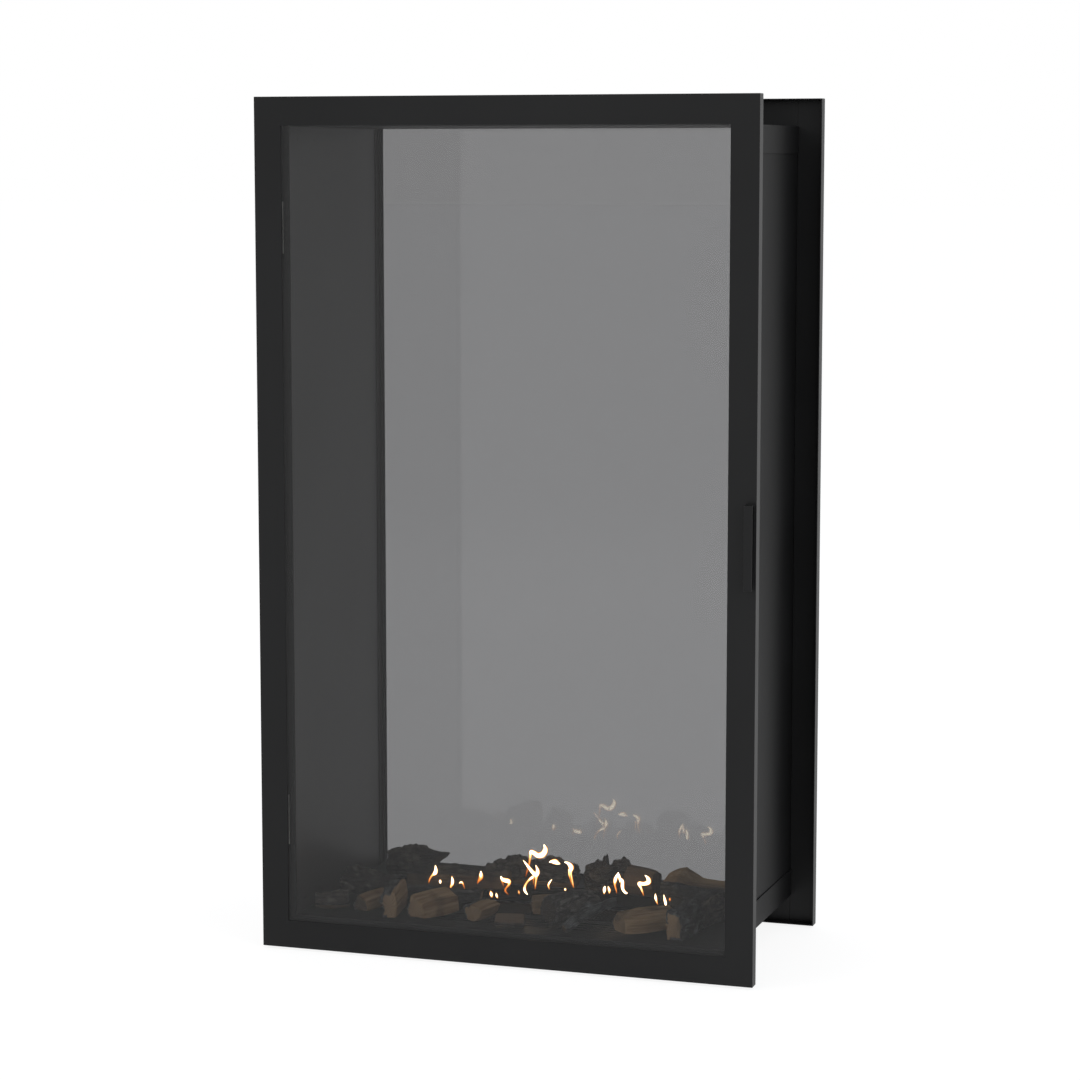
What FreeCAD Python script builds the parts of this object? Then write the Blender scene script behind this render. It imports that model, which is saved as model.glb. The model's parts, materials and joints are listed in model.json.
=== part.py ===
import FreeCAD, Part
import math
import os

from FreeCAD import Vector

# See-through bioethanol fireplace insert, in millimetres.
# X runs to the right, Y from the room side to the far side, Z up from the ground.
# The origin is on the ground, in the middle of the insert's width and depth.

# Overall sizes
frame_width = 600.0
frame_height = 1000.0
frame_depth = 310.0
foot_rise = 3.0
overrun = 20.0

# Sheet metal box between the two frames
casing_inset = 32.5
casing_sheet = 1.5
floor_height = 35.0
ceiling_drop = 34.0
tray_lip_height = 32.5
glass_stop_width = 4.5

# Fixed flange behind the door
flange_margin = 6.0
flange_sheet = 1.5
door_gap = 7.0
wall_hole_radius = 2.75
wall_hole_inset = 13.0
wall_hole_end_inset = 94.0

# Rear frame
rear_sheet = 1.5
rear_lip_depth = 15.0

# Rear glass and what holds it
rear_glass_thickness = 4.0
rear_glass_side_gap = 1.0
rear_glass_top_gap = 0.1
rear_sill_rise = 5.0
setting_block_height = 2.0
setting_block_length = 30.0
setting_block_place = 170.0
gasket_thickness = 1.0
strip_sheet = 1.2
strip_depth = 12.0
strip_end_gap = 1.0

# Air slots in the floor
slot_length = 78.0
slot_width = 4.0
slot_pitch = 10.0
slot_rows = 4
slot_columns = 3
slot_web = 10.0
slot_start = 56.0

# Levelling feet
foot_radius = 16.0
foot_thickness = 6.0
foot_place_x = 200.0
stud_radius = 4.0
stud_bore_clearance = 0.2
weld_nut_radius = 7.5
weld_nut_height = 8.0
lock_nut_radius = 7.5
lock_nut_height = 5.0
lock_nut_gap = 1.0
stud_end_gap = 0.5

# Burner
burner_forward_offset = 4.0
burner_length = 430.0
burner_width = 140.0
burner_sheet = 1.5
tank_margin = 13.0
tank_depth = 26.0
flame_slot_length = 320.0
flame_slot_width = 25.0
wool_height = 14.0
wool_gap = 1.0
burner_screw_inset = 6.5
burner_screw_columns = 3
plate_screw_head_radius = 3.6
plate_screw_head_height = 1.8
plate_screw_radius = 1.8
screw_clearance = 0.1

# Sliding shutter under the burner plate
shutter_length = 336.0
shutter_width = 33.0
shutter_sheet = 1.5
shutter_travel = 30.0
shutter_top_gap = 1.2
shutter_lip_height = 0.8
shutter_lip_width = 2.0
shutter_open_gap = 1.5
guide_width = 10.0
guide_sheet = 1.5
guide_side_gap = 0.4
guide_under_gap = 0.4
guide_end_margin = 3.0

# Rivets through the tray lips
rivet_radius = 1.6
rivet_head_radius = 3.2
rivet_head_height = 1.0
rivet_pitch = 50.0
rivets_per_lip = 2

# Door frame
face_width = 33.0
door_face_sheet = 2.0
door_lip_sheet = 1.5
outer_lip_depth = 15.0

# Door glass and what holds it
glass_thickness = 4.0
glass_overlap = 8.0
door_gasket_width = 6.0
retainer_sheet = 1.5
retainer_outer_reach = 9.5
retainer_corner_gap = 0.4
retainer_edge_cover = 6.0
standoff_radius = 3.5
standoff_bore = 1.55
standoff_offset = 5.0
standoffs_per_side = 4
standoffs_per_end = 3
standoff_end_inset = 90.0
retainer_screw_radius = 1.5
retainer_head_radius = 2.8
retainer_head_height = 1.4
retainer_tip_gap = 0.5

# Pull handle folded from one strip
handle_reach = 11.0
handle_width = 10.0
handle_height = 96.0
handle_sheet = 1.5
handle_edge_gap = 2.0
handle_centre_height = 501.0
handle_screw_inset = 12.0
handle_screw_radius = 1.5
handle_head_radius = 2.6
handle_head_height = 1.6

# Hinges
hinge_height = 60.0
hinge_end_inset = 150.0
knuckle_radius = 3.0
pin_radius = 1.6
pin_clearance = 0.06
pin_head_height = 1.2
pin_head_radius = 2.6
leaf_sheet = 1.2
leaf_width = 20.0
door_leaf_front_gap = 1.0
hinge_side_gap = 0.4
hinge_back_gap = 0.4
knuckle_gap = 0.3
leaf_screw_radius = 1.2
leaf_head_radius = 2.3
leaf_head_height = 1.0
leaf_screws = 3
leaf_screw_pitch = 20.0

# Magnetic catches
catch_width = 8.0
catch_height = 30.0
catch_end_inset = 250.0
catch_side_gap = 4.5
catch_face_gap = 0.3
catch_ear_height = 9.0
catch_ear_thickness = 2.0
strike_thickness = 1.5

# Split logs
log_length = 100.0
log_thickness = 40.0
log_rest_gap = 0.3
log_settle_tolerance = 0.02
log_settle_steps = 60
log_start_height = 120.0

# Sizes worked out from those above
half_width = frame_width / 2
front_y = (handle_reach - frame_depth) / 2
rear_y = front_y + frame_depth
frame_bottom = foot_rise
frame_top = frame_bottom + frame_height

side_outer = half_width - casing_inset
side_inner = side_outer - casing_sheet
lip_outer = side_outer + casing_sheet
floor_top = frame_bottom + floor_height
floor_under = floor_top - casing_sheet
ceiling = frame_top - ceiling_drop
roof_top = ceiling + casing_sheet
flange_front = front_y + outer_lip_depth + door_gap
casing_front = flange_front + flange_sheet
casing_back = rear_y - rear_sheet
stop_inner = side_inner - glass_stop_width
flange_outer = half_width - flange_margin
flange_bottom = frame_bottom + flange_margin
flange_top = frame_top - flange_margin

opening_half = half_width - face_width
opening_bottom = frame_bottom + face_width
opening_top = frame_top - face_width
glass_half = opening_half + glass_overlap
glass_bottom = opening_bottom - glass_overlap
glass_top = opening_top + glass_overlap
glass_front = front_y + door_face_sheet + gasket_thickness
glass_back = glass_front + glass_thickness
retainer_back = glass_back + retainer_sheet
retainer_outer = glass_half + retainer_outer_reach
retainer_inner = glass_half - retainer_edge_cover
retainer_bottom = glass_bottom - retainer_outer_reach
retainer_top = glass_top + retainer_outer_reach
retainer_window_bottom = glass_bottom + retainer_edge_cover
retainer_window_top = glass_top - retainer_edge_cover
standoff_x = glass_half + standoff_offset
standoff_low = glass_bottom - standoff_offset
standoff_high = glass_top + standoff_offset

burner_y = (casing_front + casing_back) / 2 - burner_forward_offset
burner_plate_under = floor_top + burner_sheet
burner_plate_top = burner_plate_under + burner_sheet
tank_half_length = burner_length / 2 - tank_margin
tank_half_width = burner_width / 2 - tank_margin
tank_bottom = floor_top - tank_depth
wool_top = tank_bottom + burner_sheet + wool_height

hinge_x = -(half_width - knuckle_radius - hinge_side_gap)
hinge_y = flange_front - knuckle_radius - hinge_back_gap
hinge_centres = [frame_bottom + hinge_end_inset, frame_top - hinge_end_inset]
catch_centres = [frame_bottom + catch_end_inset, frame_top - catch_end_inset]
catch_inner = half_width - door_lip_sheet - catch_side_gap - catch_width


def box(x, y, z):
    """Block between pairs of low and high limits."""
    size = (x[1] - x[0], y[1] - y[0], z[1] - z[0])
    return Part.makeBox(*size, Vector(x[0], y[0], z[0]))


def rod(radius, start, end):
    """Round bar from one point to another."""
    along = end - start
    return Part.makeCylinder(radius, along.Length, start, along)


def joined(shapes):
    """One solid out of shapes that touch or overlap."""
    whole = shapes[0].fuse(shapes[1:])
    return whole.removeSplitter()


def cut(shape, tools):
    return shape.cut(Part.Compound(tools)) if tools else shape


def mirrored(shape):
    """The same shape on the other side of the middle plane."""
    return shape.mirror(Vector(0, 0, 0), Vector(1, 0, 0))


def both_sides(shape):
    return [shape, mirrored(shape)]


def spread(low, high, count):
    """Evenly spaced values from low to high."""
    step = (high - low) / (count - 1)
    return [low + step * i for i in range(count)]


def frame_ring(outer_half, outer_z, inner_half, inner_z, y):
    """Flat rectangular ring, upright and facing the room."""
    plate = box((-outer_half, outer_half), y, outer_z)
    cut_y = (y[0] - overrun, y[1] + overrun)
    window = box((-inner_half, inner_half), cut_y, inner_z)
    return plate.cut(window)


def y_screw(x, z, head_front, head_radius, head_height, radius, tip):
    """Pan head screw along Y, with its head towards the room when tip lies behind."""
    way = 1 if tip > head_front else -1
    head_end = head_front + way * head_height
    head = rod(head_radius, Vector(x, head_front, z), Vector(x, head_end, z))
    shank = rod(radius, Vector(x, head_end, z), Vector(x, tip, z))
    return joined([head, shank])


# Door

def door_frame():
    outer_z = (frame_bottom, frame_top)
    inner_z = (opening_bottom, opening_top)
    face_y = (front_y, front_y + door_face_sheet)
    outer_y = (front_y, front_y + outer_lip_depth)
    face = frame_ring(half_width, outer_z, opening_half, inner_z, face_y)
    lip_half = half_width - door_lip_sheet
    lip_z = (frame_bottom + door_lip_sheet, frame_top - door_lip_sheet)
    outer_lip = frame_ring(half_width, outer_z, lip_half, lip_z, outer_y)
    frame = joined([face, outer_lip])
    holes = [
        rod(handle_screw_radius + screw_clearance,
            Vector(handle_screw_x, front_y - overrun, z),
            Vector(handle_screw_x, front_y + door_face_sheet + overrun, z))
        for z in handle_screw_heights
    ]
    return cut(frame, holes)


def door_glass():
    return box((-glass_half, glass_half), (glass_front, glass_back), (glass_bottom, glass_top))


def door_glass_gasket():
    ring_half = opening_half + door_gasket_width
    ring_z = (opening_bottom - door_gasket_width, opening_top + door_gasket_width)
    window_z = (opening_bottom, opening_top)
    y = (glass_front - gasket_thickness, glass_front)
    return frame_ring(ring_half, ring_z, opening_half, window_z, y)


def side_standoff_places():
    low = standoff_low + standoff_end_inset
    high = standoff_high - standoff_end_inset
    return [(standoff_x, z) for z in spread(low, high, standoffs_per_side)]


def end_standoff_places(z):
    reach = standoff_x - standoff_end_inset
    return [(x, z) for x in spread(-reach, reach, standoffs_per_end)]


def retainer_bar(x, z, places):
    bar = box(x, (glass_back, retainer_back), z)
    holes = [
        rod(retainer_screw_radius + screw_clearance,
            Vector(px, glass_back - overrun, pz),
            Vector(px, retainer_back + overrun, pz))
        for px, pz in places
    ]
    return cut(bar, holes)


def glass_retainers():
    """Four bars that press the glass against the gasket."""
    side_x = (retainer_inner, retainer_outer)
    side = retainer_bar(side_x, (retainer_bottom, retainer_top), side_standoff_places())
    end_half = retainer_inner - retainer_corner_gap
    end_x = (-end_half, end_half)
    top = retainer_bar(end_x, (retainer_window_top, retainer_top), end_standoff_places(standoff_high))
    bottom_z = (retainer_bottom, retainer_window_bottom)
    bottom = retainer_bar(end_x, bottom_z, end_standoff_places(standoff_low))
    return {
        "glass_retainer_left": mirrored(side),
        "glass_retainer_right": side,
        "glass_retainer_top": top,
        "glass_retainer_bottom": bottom,
    }


def all_standoff_places():
    sides = side_standoff_places()
    left = [(-x, z) for x, z in sides]
    return sides + left + end_standoff_places(standoff_low) + end_standoff_places(standoff_high)


def glass_standoffs():
    posts = []
    for x, z in all_standoff_places():
        start = Vector(x, front_y + door_face_sheet, z)
        end = Vector(x, glass_back, z)
        post = rod(standoff_radius, start, end)
        posts.append(post.cut(rod(standoff_bore, start, end)))
    return Part.Compound(posts)


def retainer_screws():
    head_front = retainer_back + retainer_head_height
    tip = front_y + door_face_sheet + retainer_tip_gap
    return Part.Compound([
        y_screw(x, z, head_front, retainer_head_radius, retainer_head_height, retainer_screw_radius, tip)
        for x, z in all_standoff_places()
    ])


handle_right = half_width - handle_edge_gap
handle_left = handle_right - handle_width
handle_bottom = frame_bottom + handle_centre_height - handle_height / 2
handle_top = handle_bottom + handle_height
handle_screw_x = (handle_left + handle_sheet + handle_right) / 2
handle_screw_heights = [handle_bottom + handle_screw_inset, handle_top - handle_screw_inset]


def door_handle():
    """Strip folded three times: foot on the frame, web, and finger plate in front."""
    z = (handle_bottom, handle_top)
    foot = box((handle_left, handle_right), (front_y - handle_sheet, front_y), z)
    web = box((handle_left, handle_left + handle_sheet), (front_y - handle_reach, front_y), z)
    plate_front = front_y - handle_reach
    plate = box((handle_left, handle_right), (plate_front, plate_front + handle_sheet), z)
    holes = [
        rod(handle_screw_radius + screw_clearance,
            Vector(handle_screw_x, front_y - handle_sheet - screw_clearance, height),
            Vector(handle_screw_x, front_y + screw_clearance, height))
        for height in handle_screw_heights
    ]
    return cut(joined([foot, web, plate]), holes)


def handle_screws():
    head_front = front_y + door_face_sheet + handle_head_height
    tip = front_y - handle_sheet
    return Part.Compound([
        y_screw(handle_screw_x, z, head_front, handle_head_radius, handle_head_height, handle_screw_radius, tip)
        for z in handle_screw_heights
    ])


# Hinges

def knuckle(z):
    """Hinge barrel between two heights, bored for the pin."""
    start = Vector(hinge_x, hinge_y, z[0])
    end = Vector(hinge_x, hinge_y, z[1])
    return rod(knuckle_radius, start, end), rod(pin_radius + pin_clearance, start, end)


def hinge_levels(centre):
    """Heights that part the barrel into three equal knuckles."""
    return spread(centre - hinge_height / 2, centre + hinge_height / 2, 4)


def hinge_frame_leaf(centre):
    levels = hinge_levels(centre)
    lower, lower_bore = knuckle((levels[0], levels[1] - knuckle_gap))
    upper, upper_bore = knuckle((levels[2] + knuckle_gap, levels[3]))
    leaf_y = (flange_front - leaf_sheet, flange_front)
    leaf_end = hinge_x + knuckle_radius + leaf_width
    body = box((hinge_x + knuckle_radius + hinge_side_gap, leaf_end), leaf_y, (levels[0], levels[3]))
    arms = [
        box((hinge_x, leaf_end), leaf_y, (levels[0], levels[1] - knuckle_gap)),
        box((hinge_x, leaf_end), leaf_y, (levels[2] + knuckle_gap, levels[3])),
    ]
    leaf = joined([body, lower, upper] + arms)
    bores = [lower_bore, upper_bore] + leaf_screw_bores(centre, leaf_y)
    return cut(leaf, bores)


def leaf_screw_x():
    return hinge_x + knuckle_radius + leaf_width / 2


def leaf_screw_heights(centre):
    reach = leaf_screw_pitch * (leaf_screws - 1) / 2
    return spread(centre - reach, centre + reach, leaf_screws)


def leaf_screw_bores(centre, y):
    return [
        rod(leaf_screw_radius + screw_clearance,
            Vector(leaf_screw_x(), y[0] - screw_clearance, z),
            Vector(leaf_screw_x(), y[1] + screw_clearance, z))
        for z in leaf_screw_heights(centre)
    ]


def hinge_door_leaf(centre):
    levels = hinge_levels(centre)
    middle, bore = knuckle((levels[1], levels[2]))
    lip_inner = -(half_width - door_lip_sheet)
    leaf_x = (lip_inner, lip_inner + leaf_sheet)
    leaf_front = front_y + door_face_sheet + door_leaf_front_gap
    plate_y = (leaf_front, front_y + outer_lip_depth)
    plate = box(leaf_x, plate_y, (levels[0], levels[3]))
    arm = box(leaf_x, (leaf_front, hinge_y), (levels[1], levels[2]))
    return joined([plate, middle, arm]).cut(bore)


def hinge_pins():
    pins = []
    for centre in hinge_centres:
        levels = hinge_levels(centre)
        foot = Vector(hinge_x, hinge_y, levels[0])
        crown = Vector(hinge_x, hinge_y, levels[3])
        head = rod(pin_head_radius, crown, crown + Vector(0, 0, pin_head_height))
        pins.append(joined([rod(pin_radius, foot, crown), head]))
    return Part.Compound(pins)


def flange_screw(x, z, seat):
    """Small screw into the flange, with its head on a piece whose front is at seat."""
    head_front = seat - leaf_head_height
    return y_screw(x, z, head_front, leaf_head_radius, leaf_head_height, leaf_screw_radius, casing_front)


def flange_screws():
    hinge = [
        flange_screw(leaf_screw_x(), z, flange_front - leaf_sheet)
        for centre in hinge_centres
        for z in leaf_screw_heights(centre)
    ]
    catch = [
        flange_screw(catch_screw_x(), z, flange_front - catch_ear_thickness)
        for centre in catch_centres
        for z in catch_ear_heights(centre)
    ]
    return Part.Compound(hinge + catch)


# Magnetic catches

def catch_ear_heights(centre):
    reach = catch_height / 2 + catch_ear_height / 2
    return [centre - reach, centre + reach]


def catch_screw_x():
    return catch_inner + catch_width / 2


def catch_magnets():
    """Block with an ear above and below that is screwed to the flange."""
    catches = []
    face = front_y + door_face_sheet + strike_thickness + catch_face_gap
    x = (catch_inner, catch_inner + catch_width)
    for centre in catch_centres:
        half = catch_height / 2
        ear_half = half + catch_ear_height
        block = box(x, (face, flange_front), (centre - half, centre + half))
        ear_front = flange_front - catch_ear_thickness
        ears = box(x, (ear_front, flange_front), (centre - ear_half, centre + ear_half))
        holes = [
            rod(leaf_screw_radius + screw_clearance,
                Vector(catch_screw_x(), ear_front - screw_clearance, z),
                Vector(catch_screw_x(), flange_front + screw_clearance, z))
            for z in catch_ear_heights(centre)
        ]
        catches.append(cut(joined([block, ears]), holes))
    return Part.Compound(catches)


def strike_plates():
    x = (catch_inner, catch_inner + catch_width)
    y = (front_y + door_face_sheet, front_y + door_face_sheet + strike_thickness)
    half = catch_height / 2
    return Part.Compound([box(x, y, (centre - half, centre + half)) for centre in catch_centres])


# Casing

def rivet_places():
    """Depth of each rivet in a tray lip, counted from the flange."""
    return [casing_front + rivet_pitch * (i + 1 / 2) for i in range(rivets_per_lip)]


def lip_middles():
    return [floor_under + tray_lip_height / 2, roof_top - tray_lip_height / 2]


def rivet_bores():
    """Bores through both walls and the tray lips."""
    bores = []
    for z in lip_middles():
        for y in rivet_places():
            bore = rod(rivet_radius, Vector(side_inner - overrun, y, z), Vector(lip_outer + overrun, y, z))
            bores += both_sides(bore)
    return bores


def casing_rivets():
    rivets = []
    for z in lip_middles():
        for y in rivet_places():
            seat = Vector(lip_outer, y, z)
            shank = rod(rivet_radius, Vector(side_inner, y, z), seat)
            head = rod(rivet_head_radius, seat, seat + Vector(rivet_head_height, 0, 0))
            rivets += both_sides(joined([shank, head]))
    return Part.Compound(rivets)


def side_panel_right():
    wall = box((side_inner, side_outer), (casing_front, casing_back), (floor_top, ceiling))
    stop = box((stop_inner, side_outer), (casing_back, rear_y), (floor_top, ceiling))
    return cut(joined([wall, stop]), rivet_bores())


def tray(sheet_z, lip_z):
    """Level sheet with an upright lip along each side wall."""
    sheet = box((-lip_outer, lip_outer), (casing_front, casing_back), sheet_z)
    lip = box((side_outer, lip_outer), (casing_front, casing_back), lip_z)
    return cut(joined([sheet] + both_sides(lip)), rivet_bores())


def air_slots():
    slots = []
    pitch_x = slot_length + slot_web
    columns = [pitch_x * (i - (slot_columns - 1) / 2) for i in range(slot_columns)]
    for row in range(slot_rows):
        near = front_y + slot_start + slot_pitch * row
        for y in (near, -near - slot_width + front_y + rear_y):
            for x in columns:
                x_limits = (x - slot_length / 2, x + slot_length / 2)
                slots.append(box(x_limits, (y, y + slot_width), (floor_under - overrun, floor_top + overrun)))
    return slots


def burner_screw_places():
    reach_x = burner_length / 2 - burner_screw_inset
    reach_y = burner_width / 2 - burner_screw_inset
    return [
        (x, burner_y + side * reach_y)
        for x in spread(-reach_x, reach_x, burner_screw_columns)
        for side in (-1, 1)
    ]


def burner_screw_bores():
    radius = plate_screw_radius + screw_clearance
    return [
        rod(radius, Vector(x, y, floor_under - overrun), Vector(x, y, burner_plate_top + overrun))
        for x, y in burner_screw_places()
    ]


def base_tray():
    body = tray((floor_under, floor_top), (floor_under, floor_under + tray_lip_height))
    well_x = (-tank_half_length - wool_gap, tank_half_length + wool_gap)
    well_y = (burner_y - tank_half_width - wool_gap, burner_y + tank_half_width + wool_gap)
    well = box(well_x, well_y, (floor_under - overrun, floor_top + overrun))
    return cut(body, [well] + air_slots() + burner_screw_bores())


def top_tray():
    return tray((ceiling, roof_top), (roof_top - tray_lip_height, roof_top))


def wall_hole_places():
    x = flange_outer - wall_hole_inset
    heights = (frame_bottom + wall_hole_end_inset, frame_top - wall_hole_end_inset)
    return [(side * x, z) for side in (-1, 1) for z in heights]


def front_flange():
    """Fixed ring behind the door, screwed to the wall through four holes."""
    y = (flange_front, casing_front)
    ring = frame_ring(flange_outer, (flange_bottom, flange_top), side_inner, (floor_top, ceiling), y)
    holes = [
        rod(wall_hole_radius, Vector(x, y[0] - overrun, z), Vector(x, y[1] + overrun, z))
        for x, z in wall_hole_places()
    ]
    screws = [
        rod(leaf_screw_radius + screw_clearance, Vector(x, y[0] - overrun, z), Vector(x, y[1] + overrun, z))
        for x, z in flange_screw_places()
    ]
    return cut(ring, holes + screws)


def flange_screw_places():
    hinge = [(leaf_screw_x(), z) for centre in hinge_centres for z in leaf_screw_heights(centre)]
    catch = [(catch_screw_x(), z) for centre in catch_centres for z in catch_ear_heights(centre)]
    return hinge + catch


def rear_upright():
    """Full height member on the right, with lips that point to the room."""
    plate_x = (side_outer, half_width)
    plate = box(plate_x, (casing_back, rear_y), (frame_bottom, frame_top))
    lip_y = (rear_y - rear_lip_depth, rear_y)
    outer = box((half_width - rear_sheet, half_width), lip_y, (frame_bottom, frame_top))
    low = box(plate_x, lip_y, (frame_bottom, frame_bottom + rear_sheet))
    high = box(plate_x, lip_y, (frame_top - rear_sheet, frame_top))
    return joined([plate, outer, low, high])


def rear_rail(plate_z, lip_z):
    """Level member between the two uprights."""
    x = (-side_outer, side_outer)
    plate = box(x, (casing_back, rear_y), plate_z)
    lip = box(x, (rear_y - rear_lip_depth, rear_y), lip_z)
    return joined([plate, lip])


def rear_rails():
    """Rails above and below the glass. The lower one has a sill that hides the glass's lower edge."""
    top = rear_rail((ceiling, frame_top), (frame_top - rear_sheet, frame_top))
    bottom = rear_rail((frame_bottom, floor_top), (frame_bottom, frame_bottom + rear_sheet))
    sill = box((-stop_inner, stop_inner), (casing_back, rear_y), (floor_top, floor_top + rear_sill_rise))
    return {"rear_frame_top": top, "rear_frame_bottom": joined([bottom, sill])}


# Rear glass

rear_glass_back = casing_back - gasket_thickness
rear_glass_front = rear_glass_back - rear_glass_thickness
rear_glass_half = side_inner - rear_glass_side_gap
rear_glass_bottom = floor_top + setting_block_height


def rear_glass():
    z = (rear_glass_bottom, ceiling - rear_glass_top_gap)
    return box((-rear_glass_half, rear_glass_half), (rear_glass_front, rear_glass_back), z)


def rear_glass_gaskets():
    x = (stop_inner, rear_glass_half)
    z = (rear_glass_bottom, ceiling - rear_glass_top_gap)
    return Part.Compound(both_sides(box(x, (rear_glass_back, casing_back), z)))


def rear_setting_blocks():
    x = (setting_block_place - setting_block_length / 2, setting_block_place + setting_block_length / 2)
    block = box(x, (rear_glass_front, rear_glass_back), (floor_top, rear_glass_bottom))
    return Part.Compound(both_sides(block))


def rear_glazing_strips():
    """Angle strip in each inner corner that holds the glass against its gasket."""
    z = (floor_top + strip_end_gap, ceiling - strip_end_gap)
    wall_y = (rear_glass_front - strip_depth, rear_glass_front)
    on_wall = box((side_inner - strip_sheet, side_inner), wall_y, z)
    on_glass = box((stop_inner, side_inner), (rear_glass_front - strip_sheet, rear_glass_front), z)
    return Part.Compound(both_sides(joined([on_wall, on_glass])))


# Levelling feet

def foot_places():
    """Four places midway between the burner tank and the front or back of the casing."""
    tank_front = burner_y - tank_half_width
    tank_back = burner_y + tank_half_width
    ys = ((casing_front + tank_front) / 2, (tank_back + casing_back) / 2)
    return [(x, y) for x in (-foot_place_x, foot_place_x) for y in ys]


def levelling_feet():
    feet = []
    for x, y in foot_places():
        pad = rod(foot_radius, Vector(x, y, 0), Vector(x, y, foot_thickness))
        stud = rod(stud_radius, Vector(x, y, foot_thickness), Vector(x, y, floor_under - stud_end_gap))
        feet.append(joined([pad, stud]))
    return Part.Compound(feet)


def foot_nuts():
    """Weld nut under the floor and a lock nut below it, at each foot."""
    nuts = []
    weld_bottom = floor_under - weld_nut_height
    lock_top = weld_bottom - lock_nut_gap
    lock_bottom = lock_top - lock_nut_height
    for x, y in foot_places():
        bore = rod(stud_radius + stud_bore_clearance, Vector(x, y, lock_bottom), Vector(x, y, floor_under))
        for radius, low, high in (
            (weld_nut_radius, weld_bottom, floor_under),
            (lock_nut_radius, lock_bottom, lock_top),
        ):
            nuts.append(hexagon(radius, Vector(x, y, low), high - low).cut(bore))
    return Part.Compound(nuts)


def hexagon(radius, centre, height):
    corners = [
        centre + Vector(radius * math.cos(math.pi * i / 3), radius * math.sin(math.pi * i / 3), 0)
        for i in range(6)
    ]
    face = Part.Face(Part.makePolygon(corners + corners[:1]))
    return face.extrude(Vector(0, 0, height))


# Burner

def burner_tank():
    """Fuel tank that hangs in the floor by its flange."""
    flange_x = (-burner_length / 2, burner_length / 2)
    flange_y = (burner_y - burner_width / 2, burner_y + burner_width / 2)
    flange = box(flange_x, flange_y, (floor_top, burner_plate_under))
    shell = box((-tank_half_length, tank_half_length),
                (burner_y - tank_half_width, burner_y + tank_half_width),
                (tank_bottom, burner_plate_under))
    hollow_half_length = tank_half_length - burner_sheet
    hollow_half_width = tank_half_width - burner_sheet
    hollow = box((-hollow_half_length, hollow_half_length),
                 (burner_y - hollow_half_width, burner_y + hollow_half_width),
                 (tank_bottom + burner_sheet, burner_plate_under + overrun))
    return cut(joined([flange, shell]), [hollow] + burner_screw_bores())


def burner_wool():
    half_length = tank_half_length - burner_sheet - wool_gap
    half_width_wool = tank_half_width - burner_sheet - wool_gap
    y = (burner_y - half_width_wool, burner_y + half_width_wool)
    return box((-half_length, half_length), y, (tank_bottom + burner_sheet, wool_top))


def burner_plate():
    """Plate over the tank, with the long slot that the flames stand in."""
    x = (-burner_length / 2, burner_length / 2)
    y = (burner_y - burner_width / 2, burner_y + burner_width / 2)
    plate = box(x, y, (burner_plate_under, burner_plate_top))
    end_radius = flame_slot_width / 2
    straight = flame_slot_length / 2 - end_radius
    cut_z = (burner_plate_under - overrun, burner_plate_top + overrun)
    middle = box((-straight, straight), (burner_y - end_radius, burner_y + end_radius), cut_z)
    ends = [
        rod(end_radius, Vector(side * straight, burner_y, cut_z[0]), Vector(side * straight, burner_y, cut_z[1]))
        for side in (-1, 1)
    ]
    return cut(plate, [joined([middle] + ends)] + burner_screw_bores())


def burner_screws():
    screws = []
    for x, y in burner_screw_places():
        head_top = burner_plate_top + plate_screw_head_height
        head = rod(plate_screw_head_radius, Vector(x, y, burner_plate_top), Vector(x, y, head_top))
        shank = rod(plate_screw_radius, Vector(x, y, floor_under), Vector(x, y, burner_plate_top))
        screws.append(joined([head, shank]))
    return Part.Compound(screws)


# Shutter, shown open behind the flame slot

shutter_front = burner_y + flame_slot_width / 2 + shutter_open_gap
shutter_top = burner_plate_under - shutter_top_gap
shutter_under = shutter_top - shutter_sheet


def shutter():
    x = (-shutter_length / 2, shutter_length / 2)
    plate = box(x, (shutter_front, shutter_front + shutter_width), (shutter_under, shutter_top))
    lip_y = (shutter_front, shutter_front + shutter_lip_width)
    lip = box(x, lip_y, (shutter_under, shutter_top + shutter_lip_height))
    return joined([plate, lip])


def shutter_guides():
    """Angle rail under each end of the shutter, hung from the burner plate."""
    y_low = shutter_front - shutter_travel - guide_end_margin
    y = (y_low, shutter_front + shutter_width + guide_end_margin)
    ledge_top = shutter_under - guide_under_gap
    wall_inner = shutter_length / 2 + guide_side_gap
    wall = box((wall_inner, wall_inner + guide_sheet), y, (ledge_top - guide_sheet, burner_plate_under))
    ledge_x = (wall_inner + guide_sheet - guide_width, wall_inner)
    ledge = box(ledge_x, y, (ledge_top - guide_sheet, ledge_top))
    return Part.Compound(both_sides(joined([wall, ledge])))


# Outlines of the logs across their length, as shares of the thickness

split_shares = [(-0.50, 0.02), (-0.40, -0.28), (-0.12, -0.42), (0.22, -0.40), (0.46, -0.20), (0.50, 0.08),
                (0.04, 0.46)]
half_shares = [(-0.50, 0.16), (-0.44, -0.14), (-0.24, -0.36), (0.0, -0.44), (0.24, -0.36), (0.44, -0.14),
               (0.50, 0.18), (0.12, 0.30), (-0.20, 0.28)]
wedge_shares = [(-0.50, -0.34), (0.40, -0.40), (0.50, -0.12), (0.16, 0.42), (-0.42, 0.18)]
slab_shares = [(-0.30, -0.50), (0.24, -0.50), (0.33, 0.08), (0.22, 0.50), (-0.20, 0.46), (-0.34, 0.0)]
round_share = 0.48
round_corners = 9
round_shares = [
    (round_share * math.cos(math.tau * i / round_corners), round_share * math.sin(math.tau * i / round_corners))
    for i in range(round_corners)
]

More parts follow.
